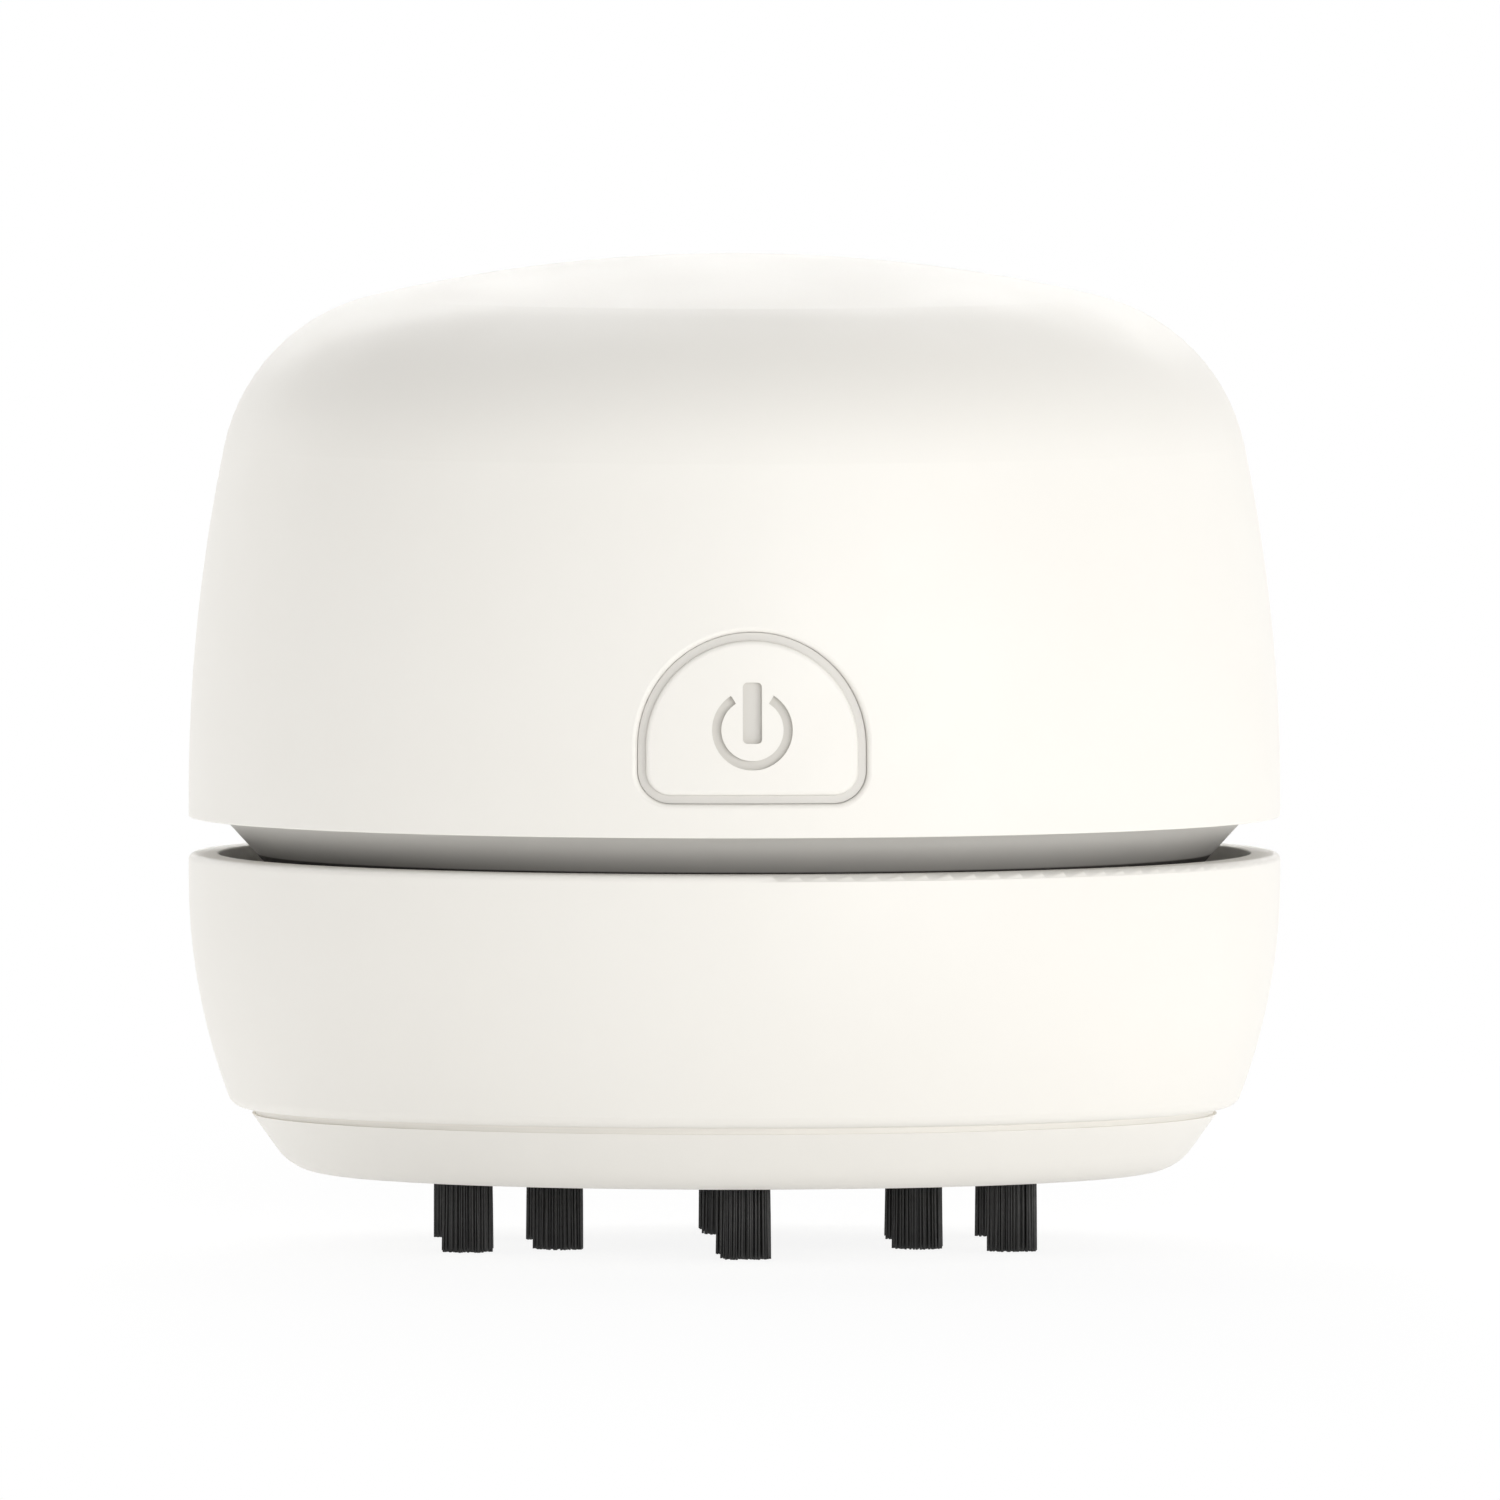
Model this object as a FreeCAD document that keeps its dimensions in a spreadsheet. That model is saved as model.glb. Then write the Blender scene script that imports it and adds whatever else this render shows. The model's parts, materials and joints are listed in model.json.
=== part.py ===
import FreeCAD, Part
import math
import os
import Sketcher

# Desktop mini vacuum cleaner, in millimetres. The Z axis is the axis of the round body.
# The origin lies on it at the tips of the bristle tufts, and -Y is the front, where the button is.

DRIVING_SIZES = {
    # whole body
    "body_radius": 40.0,
    "total_height": 72.6,
    "beyond": 60.0,             # a distance that clears the whole body
    "shell_rim": 31.4,          # height of the top shell's lower edge
    "cup_rim": 28.72,           # height of the dust cup's upper edge
    # dome: three arcs, each tangent to the next
    "shell_wall": 2.4,
    "dome_start": 33.0,         # height where the straight foot of the dome ends
    "side_radius": 126.0,
    "shoulder_radius": 14.2,
    "crown_radius": 116.0,
    # clearances
    "slip_gap": 0.03,           # a shaft in its bore
    "fit_gap": 0.1,             # parts pushed together
    "free_gap": 0.3,            # parts that pass each other
    "rim_round": 0.12,          # barely broken edges of the rims
    # screws
    "wide_head": 2.1,
    "wide_shank": 1.15,
    "middle_head": 1.8,
    "middle_shank": 1.0,
    "thin_head": 1.7,
    "thin_shank": 0.8,
    "pilot_gap": 0.05,
    "hole_gap": 0.2,
    "boss_wall": 1.1,
    "shell_screw_length": 8.5,
    "cage_screw_length": 9.0,
    "cage_screw_seat": 22.8,
    "board_screw_length": 4.4,
    "clamp_screw_length": 4.5,
    "tray_screw_length": 3.9,
    # posts that carry the top shell
    "post_radius": 3.0,
    "post_rear_x": 28.5,
    "post_rear_y": 5.3,
    "post_front_x": 16.9,
    "post_front_y": 23.6,
    # power button, a half disc on a short rectangle
    "button_half_width": 7.73,
    "button_round_height": 38.05,
    "button_foot": 34.5,
    "button_corner": 1.8,
    "button_zone_top": 50.7,    # height that clears the button and its flange
    "button_groove": 0.6,
    "groove_depth": 0.4,
    "groove_round": 0.35,       # rounding of the groove's two upper edges
    "button_thick": 2.2,
    "flange_depth": 1.2,        # how far the flange lies behind the button's face
    "flange_reach": 1.2,
    "lip_thick": 0.9,
    "lip_window_reach": 1.9,
    "lip_window_back": 35.7,    # radius where the cut behind the lip ends
    "lip_window_angle": 30.0,
    "plunger_width": 5.0,
    "plunger_back": 33.2,
    # power symbol
    "symbol_height": 39.45,
    "symbol_radius": 2.94,
    "symbol_line": 0.68,
    "symbol_gap_angle": 31.9,   # half the ring's opening
    "symbol_depth": 0.55,
    "symbol_tilt": 3.1,         # slope of the button's face at the symbol
    "bar_width": 1.4,
    "bar_foot": 38.45,
    "bar_top": 42.9,
    # push switch
    "switch_width": 8.0,
    "switch_height": 8.4,
    "switch_front": 29.5,
    "switch_back": 21.5,
    "stem_width": 3.0,
    "stem_front": 35.6,
    "stem_back": 27.0,
    "stem_hole_back": 24.5,
    # chassis
    "floor_under": 27.8,
    "floor_thick": 1.5,
    "skirt_foot_radius": 34.2,  # where the cone-shaped skirt meets the floor's underside
    "spigot_top": 34.5,
    "spigot_wall": 1.8,
    "shaft_hole": 3.4,
    "socket_radius": 11.3,
    "socket_wall": 1.6,
    "socket_top": 36.0,
    "notch_half_width": 11.0,
    "notch_foot": 32.2,
    "clamp_boss_x": 16.8,
    "clamp_boss_radius": 2.6,
    "board_boss_radius": 2.2,
    "cage_pilot_depth": 4.5,
    # fan cage
    "cage_radius": 31.4,
    "cage_under": 20.6,
    "plate_thick": 1.2,
    "eye_radius": 12.0,
    "cage_rim_height": 2.6,
    "cage_rim_wall": 3.0,
    "cage_post_circle": 27.4,
    "cage_post_radius": 2.6,
    "seal_radius": 31.0,
    "seal_section": 0.78,
    "seal_groove_depth": 1.2,
    "seal_groove_height": 1.6,
    "guard_bar": 1.2,
    "guard_ring": 6.0,
    "guard_thick": 0.8,
    # impeller
    "impeller_radius": 23.5,
    "impeller_top": 26.9,
    "back_disc_thick": 0.9,
    "vane_under": 22.3,
    "vane_start": 11.5,
    "vane_curve": 16.0,
    "vane_sweep": 35.0,
    "vane_thick": 1.0,
    "hub_radius": 3.6,
    # motor, standing on its shaft end
    "motor_base": 30.8,
    "motor_radius": 10.05,
    "motor_flat": 7.55,
    "can_height": 20.5,
    "can_wall": 0.7,
    "bearing_boss_radius": 3.07,
    "bearing_boss_height": 1.5,
    "bush_radius": 2.4,
    "end_cap_height": 3.5,
    "end_cap_boss": 1.4,
    "end_cap_boss_radius": 3.2,
    "brush_space": 6.5,
    "brush_space_height": 1.5,
    "brush_height": 0.9,
    "brush_leaf": 0.4,
    "brush_front": 4.9,
    "brush_back": 2.1,
    "shaft_radius": 1.0,
    "shaft_below": 9.0,
    "magnet_inner": 6.9,
    "magnet_outer": 9.3,
    "magnet_half_angle": 43.0,
    "magnet_foot": 3.0,
    "magnet_length": 14.0,
    "core_radius": 6.4,
    "core_hub_radius": 2.64,
    "core_foot": 4.5,
    "core_height": 11.0,
    "pole_width": 2.4,
    "pole_inner": 5.1,
    "pole_half_angle": 48.0,
    "winding_thick": 1.1,
    "winding_depth": 1.5,
    "winding_start": 2.88,
    "commutator_radius": 2.0,
    "commutator_foot": 17.15,
    "commutator_top": 21.6,
    "slot_start": 1.44,         # radius where the commutator's slots begin
    "slot_depth": 3.56,
    "terminal_x": 5.2,
    "terminal_y": 5.2,
    "terminal_thick": 0.5,
    "terminal_width": 2.2,
    "terminal_top": 28.0,
    "strap_thick": 0.8,
    "strap_width": 7.0,
    "strap_leg_x": 13.4,
    "strap_foot_x": 19.5,
    "suppressor_radius": 2.3,
    "suppressor_thick": 1.4,
    "suppressor_wire": 0.3,
    # circuit board
    "board_under": 33.2,
    "board_thick": 1.6,
    "board_radius": 34.5,
    "board_hole": 20.5,
    "board_screw_circle": 27.5,
    "board_screw_rear": 45.0,
    "board_screw_front": 10.0,
    "chip_length": 4.9,
    "chip_width": 3.9,
    "chip_height": 1.5,
    "coil_width": 5.0,
    "coil_height": 3.0,
    "resistor_length": 2.0,
    "resistor_width": 1.25,
    "resistor_height": 0.6,
    "component_circle": 24.0,
    "capacitor_circle": 27.5,
    "capacitor_radius": 2.5,
    "capacitor_height": 6.0,
    "usb_width": 8.94,
    "usb_height": 3.26,
    "usb_length": 7.3,
    "usb_mouth": 36.9,
    "usb_metal": 0.3,
    "usb_back_wall": 1.2,
    "tongue_setback": 1.5,      # how far the tongue's end lies inside the mouth
    "tongue_half_width": 3.26,
    "tongue_half_thick": 0.33,
    "usb_corner": 1.3,
    "usb_opening_gap": 0.35,
    "light_x": 9.0,
    "light_height": 36.1,
    "light_radius": 1.0,
    "light_thick": 1.6,
    "light_back": 32.6,
    # battery, lying across the body behind the motor
    "cell_radius": 7.1,
    "cell_length": 50.0,
    "cell_bevel": 0.8,
    "cell_groove": 2.1,         # how far the rolled groove lies from the raised end
    "cell_nub": 2.84,
    "cell_y": 16.2,
    "cell_height": 45.0,
    "cradle_wall": 1.0,
    "cradle_end_rise": 2.0,
    "cradle_half_length": 26.3,
    "cradle_foot_x": 23.0,
    "cradle_foot_width": 7.2,
    "cradle_leg_thick": 2.0,
    "tab_thick": 0.24,
    "tab_half_width": 3.0,
    "tab_top": 9.0,
    "lead_radius": 0.6,
    "lead_drop": 1.2,           # how far below a tab's end its lead is joined
    "battery_lead_x": 28.2,
    "battery_lead_bend": 2.4,
    "motor_lead_x": 22.5,
    "motor_lead_bend": 7.2,
    # filter unit
    "frame_under": 17.6,
    "frame_lip": 0.8,
    "collar_inner": 32.0,
    "collar_outer": 33.4,
    "collar_top": 23.2,
    "collar_lip": 1.4,
    "spoke_width": 1.4,
    "frame_lug_outer": 36.1,
    "lug_thick": 1.4,
    "lug_half_angle": 12.0,
    "lug_turn": 60.0,           # angle from the X axis to the first lug's middle
    "pleat_height": 1.8,
    "pleat_pitch": 2.8,
    "fabric_thick": 0.4,
    # dust cup
    "cup_wall": 2.2,
    "cup_bend": 27.0,           # height where the cup's wall begins to curve in
    "cup_radius": 45.5,         # radius of that curve
    "cup_under": 9.95,
    "cup_foot": 10.15,          # height of the wall's lower edge, above the neck
    "neck_radius": 35.1,        # shallow groove between the cup's foot and the tray
    "cup_floor_thick": 1.4,
    "chimney_radius": 9.5,
    "chimney_top_radius": 8.3,
    "chimney_wall": 1.2,
    "chimney_top": 16.0,
    "riser_flange": 11.5,
    "riser_flange_thick": 0.6,
    "ledge_radius": 32.6,
    "ledge_foot": 13.2,
    "ledge_slope_top": 16.2,
    "ledge_top": 17.3,
    "gasket_thick": 0.2,
    "cup_lug_inner": 34.2,
    "stop_half_angle": 1.3,
    "stop_gap_angle": 0.5,
    "cup_round": 0.5,
    "cup_foot_round": 1.2,
    "locating_ring": 33.1,
    "locating_height": 1.1,
    # brush tray
    "tray_under": 5.4,
    "tray_floor_thick": 1.6,
    "tray_shoulder": 35.35,
    "tray_shoulder_height": 9.65,
    "tray_step": 33.6,
    "tray_step_height": 7.2,
    "tray_flat": 30.2,
    "tray_edge_radius": 4.0,
    "tray_wall": 1.7,
    "tray_screw_circle": 28.0,
    "tray_screw_angle": 30.0,
    "tray_screw_seat": 6.9,
    "tray_boss_top": 8.2,
    "mouth_round": 0.5,
    # bristle tufts
    "tuft_radius": 1.95,
    "tuft_length": 9.2,
    "inner_tuft_circle": 15.2,
    "outer_tuft_circle": 23.0,
}

CAGE_POSTS = 6
GUARD_BARS = 6
VANES = 9
POLES = 3
FILTER_SPOKES = 6
FILTER_FOLDS = 22
BAYONET_LUGS = 3
TUFTS_IN_RING = 6

CAPACITOR_TURN = 250                # degrees from the X axis
DEGREES_PER_RADIAN = math.degrees(1)

# A screw head's height, and its cross recess, as shares of the head's radius.
HEAD_HEIGHT = 0.75
CROSS_REACH = 0.6
CROSS_HALF_WIDTH = 0.12


class Size:
    """A number that remembers the sheet expression it is worked out from."""

    def __init__(self, value, text):
        self.value = float(value)
        self.text = text

    def __add__(self, other):
        other = as_size(other)
        return Size(self.value + other.value, f"({self.text} + {other.text})")

    def __sub__(self, other):
        other = as_size(other)
        return Size(self.value - other.value, f"({self.text} - {other.text})")

    def __mul__(self, other):
        other = as_size(other)
        return Size(self.value * other.value, f"{self.text} * {other.text}")

    def __truediv__(self, other):
        other = as_size(other)
        return Size(self.value / other.value, f"({self.text}) / ({other.text})")

    def __neg__(self):
        return Size(-self.value, f"(-1 * {self.text})")

    def __radd__(self, other):
        return as_size(other) + self

    def __rsub__(self, other):
        return as_size(other) - self

    def __rmul__(self, other):
        return as_size(other) * self


def as_size(number):
    if isinstance(number, Size):
        return number
    return Size(number, f"({float(number)})")


def root(number):
    return Size(math.sqrt(number.value), f"sqrt({number.text})")


def sine(degrees):
    degrees = as_size(degrees)
    return Size(math.sin(math.radians(degrees.value)), f"sin({degrees.text})")


def cosine(degrees):
    degrees = as_size(degrees)
    return Size(math.cos(math.radians(degrees.value)), f"cos({degrees.text})")


def polar(radius, degrees):
    """The point at this radius and angle from the X axis."""
    return radius * cosine(degrees), radius * sine(degrees)


class SizeSheet:
    """The spreadsheet of driving sizes, read back as Size values by name."""

    def __init__(self, document, rows):
        self.table = document.addObject("Spreadsheet::Sheet", "Sizes")
        for row, (name, value) in enumerate(rows.items(), 1):
            self.table.set(f"A{row}", name)
            self.table.set(f"B{row}", str(value))
            self.table.setAlias(f"B{row}", name)
            setattr(self, name, Size(value, f"Sizes.{name}"))


document = FreeCAD.newDocument("MiniVacuumCleaner")
size = SizeSheet(document, DRIVING_SIZES)
document.recompute()
pieces = []


def bind(item, path, value):
    """Bind one property of an object to the sheet."""
    item.setExpression(path, as_size(value).text)


class Drawing:
    """A sketch on one of a body's own planes, with its points and radii bound to the sheet."""

    def __init__(self, body, plane_role, offset=0, lean=0.0):
        plane = next(f for f in body.Origin.OriginFeatures if f.Role == plane_role)
        self.sketch = body.newObject("Sketcher::SketchObject", "Sketch")
        self.sketch.AttachmentSupport = [(plane, "")]
        self.sketch.MapMode = "FlatFace"
        rotation = FreeCAD.Rotation(FreeCAD.Vector(1, 0, 0), lean)
        self.sketch.AttachmentOffset = FreeCAD.Placement(FreeCAD.Vector(), rotation)
        bind(self.sketch, "AttachmentOffset.Base.z", offset)

    def bound(self, kind, ends, value):
        index = self.sketch.addConstraint(Sketcher.Constraint(kind, *ends, value.value))
        self.sketch.setExpression(f"Constraints[{index}]", value.text)

    def pin(self, element, end, x, y):
        """Hold a point at its distance from the sketch's origin, whichever side it lies on."""
        for kind, distance in (("DistanceX", as_size(x)), ("DistanceY", as_size(y))):
            if distance.value < 0:
                self.bound(kind, (element, end, -1, 1), -distance)
            else:
                self.bound(kind, (-1, 1, element, end), distance)

    def join(self, first, second):
        self.sketch.addConstraint(Sketcher.Constraint("Coincident", *first, *second))

    def line(self, start, end):
        """A line between two points, returned as its start point and end point."""
        ends = [FreeCAD.Vector(as_size(x).value, as_size(y).value, 0) for x, y in (start, end)]
        element = self.sketch.addGeometry(Part.LineSegment(*ends))
        return (element, 1), (element, 2)

    def arc(self, start, end, radius):
        """The shorter arc between two points. A positive radius turns left, a negative one right."""
        x0, y0, x1, y1 = (as_size(number).value for number in (*start, *end))
        left = radius.value > 0
        length = math.hypot(x1 - x0, y1 - y0)
        rise = math.sqrt(max(radius.value**2 - length**2 / 4, 0.0)) * (1 if left else -1)
        centre_x = (x0 + x1) / 2 - (y1 - y0) / length * rise
        centre_y = (y0 + y1) / 2 + (x1 - x0) / length * rise
        angles = [math.atan2(y - centre_y, x - centre_x) for x, y in ((x0, y0), (x1, y1))]
        circle = Part.Circle(
            FreeCAD.Vector(centre_x, centre_y, 0), FreeCAD.Vector(0, 0, 1), abs(radius.value)
        )
        if not left:
            angles.reverse()
        element = self.sketch.addGeometry(Part.ArcOfCircle(circle, *angles))
        self.bound("Radius", (element,), radius if left else -radius)
        return ((element, 1), (element, 2)) if left else ((element, 2), (element, 1))

    def outline(self, corners):
        """A closed outline. A corner is x and y, and the radius of the arc that leads to it, if any."""
        ends = []
        for before, corner in zip([corners[-1]] + corners[:-1], corners):
            if len(corner) == 3:
                ends.append(self.arc(before[:2], corner[:2], as_size(corner[2])))
            else:
                ends.append(self.line(before[:2], corner))
            self.pin(*ends[-1][1], corner[0], corner[1])
        for this, following in zip(ends, ends[1:] + ends[:1]):
            self.join(this[1], following[0])
        return self

    def rectangle(self, x0, y0, x1, y1):
        return self.outline([(x0, y0), (x1, y0), (x1, y1), (x0, y1)])

    def rounded(self, x0, y0, x1, y1, radius):
        """A rectangle with rounded corners."""
        return self.outline([
            (x0 + radius, y0, radius),
            (x1 - radius, y0),
            (x1, y0 + radius, radius),
            (x1, y1 - radius),
            (x1 - radius, y1, radius),
            (x0 + radius, y1),
            (x0, y1 - radius, radius),
            (x0, y0 + radius),
        ])

    def circle(self, x, y, radius):
        centre = FreeCAD.Vector(as_size(x).value, as_size(y).value, 0)
        circle = Part.Circle(centre, FreeCAD.Vector(0, 0, 1), as_size(radius).value)
        element = self.sketch.addGeometry(circle)
        self.bound("Radius", (element,), as_size(radius))
        self.pin(element, 3, x, y)
        return self

    def circles(self, places, radius):
        for x, y in places:
            self.circle(x, y, radius)
        return self

    def sector(self, inner, outer, angle, half_angle):
        """Part of a ring, between two radii and evenly to both sides of an angle."""
        start, end = as_size(angle) - half_angle, as_size(angle) + half_angle
        return self.outline([
            (*polar(inner, start), -inner),
            polar(outer, start),
            (*polar(outer, end), outer),
            polar(inner, end),
        ])

    def dome_curve(self, inset):
        """The dome's side, shoulder and crown arcs, this far inside its outer surface."""
        side_centre = (size.body_radius - size.side_radius, size.dome_start)
        crown_centre = (as_size(0), size.total_height - size.crown_radius)
        radii = [size.side_radius - inset, size.shoulder_radius - inset, size.crown_radius - inset]
        (side_x, side_y), (crown_x, crown_y) = (
            [number.value for number in centre] for centre in (side_centre, crown_centre)
        )
        to_side = (size.side_radius - size.shoulder_radius).value
        to_crown = (size.crown_radius - size.shoulder_radius).value
        apart = math.hypot(crown_x - side_x, crown_y - side_y)
        along = (to_side**2 - to_crown**2 + apart**2) / (2 * apart)
        across = math.sqrt(to_side**2 - along**2)
        turn = math.atan2(crown_y - side_y, crown_x - side_x) + math.atan2(across, along)
        shoulder_x = side_x + to_side * math.cos(turn)
        shoulder_y = side_y + to_side * math.sin(turn)
        last_turn = math.atan2(shoulder_y - crown_y, shoulder_x - crown_x)
        spans = (
            (side_x, side_y, 0.0, turn),
            (shoulder_x, shoulder_y, turn, last_turn),
            (crown_x, crown_y, last_turn, math.pi / 2),
        )
        arcs = []
        for (x, y, start, end), radius in zip(spans, radii):
            circle = Part.Circle(FreeCAD.Vector(x, y, 0), FreeCAD.Vector(0, 0, 1), radius.value)
            arcs.append(self.sketch.addGeometry(Part.ArcOfCircle(circle, start, end)))
            self.bound("Radius", (arcs[-1],), radius)
        side, shoulder, crown = arcs
        self.pin(side, 3, *side_centre)
        self.pin(crown, 3, *crown_centre)
        self.bound("DistanceY", (-1, 1, side, 1), size.dome_start)
        self.sketch.addConstraint(Sketcher.Constraint("PointOnObject", crown, 2, -2))
        self.sketch.addConstraint(Sketcher.Constraint("Tangent", side, 2, shoulder, 1))
        self.sketch.addConstraint(Sketcher.Constraint("Tangent", shoulder, 2, crown, 1))
        foot = (size.body_radius - inset, size.dome_start)
        apex = (as_size(0), size.total_height - inset)
        return {"foot": (side, 1), "foot_at": foot, "apex": (crown, 2), "apex_at": apex}

    def lines_between(self, first, first_at, corners, last, last_at):
        """Straight lines from one drawn point to another, through corners of their own."""
        stops = [first_at] + corners + [last_at]
        previous = first
        for number, (start, end) in enumerate(zip(stops, stops[1:])):
            line_start, line_end = self.line(start, end)
            self.join(previous, line_start)
            if number < len(corners):
                self.pin(*line_end, *end)
            previous = line_end
        self.join(previous, last)
        return self


def new_body(label, x=0, y=0, z=0, axis=(0, 0, 1), turn=0):
    """An empty body for one piece, with its own label and place."""
    body = document.addObject("PartDesign::Body", label)
    body.Label = label
    body.Placement = FreeCAD.Placement(FreeCAD.Vector(), FreeCAD.Rotation(FreeCAD.Vector(*axis), turn))
    for letter, value in zip("xyz", (x, y, z)):
        bind(body, f"Placement.Base.{letter}", value)
    pieces.append(body)
    return body


def volume_of(body):
    document.recompute()
    return body.Shape.Volume if body.Tip else 0.0


def must_grow(body, before, grows):
    """Stop if a feature added or removed nothing."""
    change = volume_of(body) - before
    if abs(change) < 1e-4 or (change > 0) != grows:
        raise ValueError(f"{body.Label}: the last feature changed the volume by {change:.4f}")


def pad(body, drawing, length, backward=False, both_ways=False):
    """Add the drawing's area, this far along its plane's normal, or backward."""
    before = volume_of(body)
    feature = body.newObject("PartDesign::Pad", "Pad")
    feature.Profile = drawing.sketch
    bind(feature, "Length", length)
    feature.Reversed = backward
    feature.Midplane = both_ways
    must_grow(body, before, True)
    return feature


def pocket(body, drawing, length, along_normal=False):
    """Cut the drawing's area, this far against its plane's normal, or along it."""
    before = volume_of(body)
    feature = body.newObject("PartDesign::Pocket", "Pocket")
    feature.Profile = drawing.sketch
    bind(feature, "Length", length)
    feature.Reversed = along_normal
    must_grow(body, before, False)
    return feature


def revolve(body, drawing):
    """Turn the drawing's area right round the vertical axis."""
    before = volume_of(body)
    feature = body.newObject("PartDesign::Revolution", "Revolution")
    feature.Profile = drawing.sketch
    feature.ReferenceAxis = (drawing.sketch, ["V_Axis"])
    feature.Angle = 360
    must_grow(body, before, True)
    return feature


def groove(body, drawing, angle=360):
    """Cut the drawing's area round the vertical axis, evenly to both sides of the drawing."""
    before = volume_of(body)
    feature = body.newObject("PartDesign::Groove", "Groove")
    feature.Profile = drawing.sketch
    feature.ReferenceAxis = (drawing.sketch, ["V_Axis"])
    bind(feature, "Angle", angle)
    feature.Midplane = as_size(angle).value < 360
    must_grow(body, before, False)
    return feature


def repeat_round(body, features, count):
    """Repeat features round the vertical axis."""
    axis = next(f for f in body.Origin.OriginFeatures if f.Role == "Z_Axis")
    pattern = body.newObject("PartDesign::PolarPattern", "PolarPattern")
    pattern.Originals = features
    pattern.Axis = (axis, [""])
    pattern.Angle = 360
    pattern.Occurrences = count
    body.Tip = pattern
    document.recompute()


def fillet(body, radius, chosen):
    """Round the edges for which chosen(edge) is true."""
    document.recompute()
    names = [f"Edge{number}" for number, edge in enumerate(body.Shape.Edges, 1) if chosen(edge)]
    base = body.Tip
    before = volume_of(body)
    feature = body.newObject("PartDesign::Fillet", "Fillet")
    feature.Base = (base, names)
    bind(feature, "Radius", radius)
    must_grow(body, before, False)


def ring_edge(radius, height):
    """Test for a full circle about the vertical axis at this radius and height."""
    def chosen(edge):
        box = edge.BoundBox
        level = box.ZLength < 0.01 and abs(box.ZMax - as_size(height).value) < 0.01
        return level and abs(box.XMax - as_size(radius).value) < 0.01
    return chosen


# Heights, radii and places that several pieces share.
outside = size.body_radius + size.shell_wall
through_shell = size.shell_wall * 4
floor_top = size.floor_under + size.floor_thick
board_top = size.board_under + size.board_thick
stem_height = board_top + size.switch_height / 2
usb_axis = board_top + size.usb_height / 2
cup_floor_top = size.cup_under + size.cup_floor_thick
tray_floor_top = size.tray_under + size.tray_floor_thick
motor_top = size.can_height + size.end_cap_height + size.end_cap_boss

post_places = [
    (side * x, y)
    for x, y in ((size.post_rear_x, size.post_rear_y), (size.post_front_x, -size.post_front_y))
    for side in (1, -1)
]
cage_screw_places = [polar(size.cage_post_circle, angle) for angle in (90, 210, 330)]
board_screw_places = [
    polar(size.board_screw_circle, angle)
    for angle in (
        size.board_screw_rear,
        180 - size.board_screw_rear,
        180 + size.board_screw_front,
        -size.board_screw_front,
    )
]
clamp_places = [(side * size.clamp_boss_x, as_size(0)) for side in (1, -1)]
tuft_places = [
    polar(circle, number * 360 / TUFTS_IN_RING - 90)
    for circle in (size.outer_tuft_circle, size.inner_tuft_circle)
    for number in range(TUFTS_IN_RING)
]
tray_screw_places = [
    (side * size.tray_screw_circle * sine(size.tray_screw_angle),
     end * size.tray_screw_circle * cosine(size.tray_screw_angle))
    for side in (1, -1)
    for end in (1, -1)
]


def dome_side(height, inset):
    """Radius of the dome's side arc at a height, this far inside its outer surface."""
    reach = size.side_radius - inset
    rise = height - size.dome_start
    return size.body_radius - size.side_radius + root(reach * reach - rise * rise)


def cup_side(height, inset):
    """Radius of the cup's curved wall at a height, this far inside its outer surface."""
    reach = size.cup_radius - inset
    drop = size.cup_bend - height
    return size.body_radius - size.cup_radius + root(reach * reach - drop * drop)


def half_disc(drawing, grow):
    """The button's outline, grown all round by the given amount."""
    half_width = size.button_half_width + grow
    foot = size.button_foot - grow
    corner = size.button_corner + grow
    round_height = size.button_round_height
    return drawing.outline([
        (corner - half_width, foot, corner),
        (half_width - corner, foot),
        (half_width, foot + corner, corner),
        (half_width, round_height),
        (as_size(0), round_height + half_width, half_width),
        (-half_width, round_height, half_width),
        (-half_width, foot + corner),
    ])


def on_dome(edge):
    """True for the edge of a hole through the dome's side, on its outer surface."""
    if edge.BoundBox.XLength > size.body_radius.value:
        return False
    first, last = edge.ParameterRange
    for fraction in (0.0, 0.5, 1.0):
        point = edge.valueAt(first + (last - first) * fraction)
        surface = dome_side(as_size(point.z), 0).value
        if point.z < size.dome_start.value or abs(math.hypot(point.x, point.y) - surface) > 0.01:
            return False
    return True


def skin_outside(body, inset):
    """The area outside the dome's side, over the height of the button."""
    low, high = size.shell_rim, size.button_zone_top
    return Drawing(body, "XZ_Plane").outline([
        (size.beyond, low),
        (size.beyond, high),
        (dome_side(high, inset), high),
        (dome_side(low, inset), low, inset - size.side_radius),
    ])


def skin_inside(body, inset):
    """The area inside the dome's side, over the height of the button."""
    core = size.stem_back
    low, high = size.shell_rim, size.button_zone_top
    return Drawing(body, "XZ_Plane").outline([
        (core, low),
        (dome_side(low, inset), low),
        (dome_side(high, inset), high, size.side_radius - inset),
        (core, high),
    ])


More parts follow.
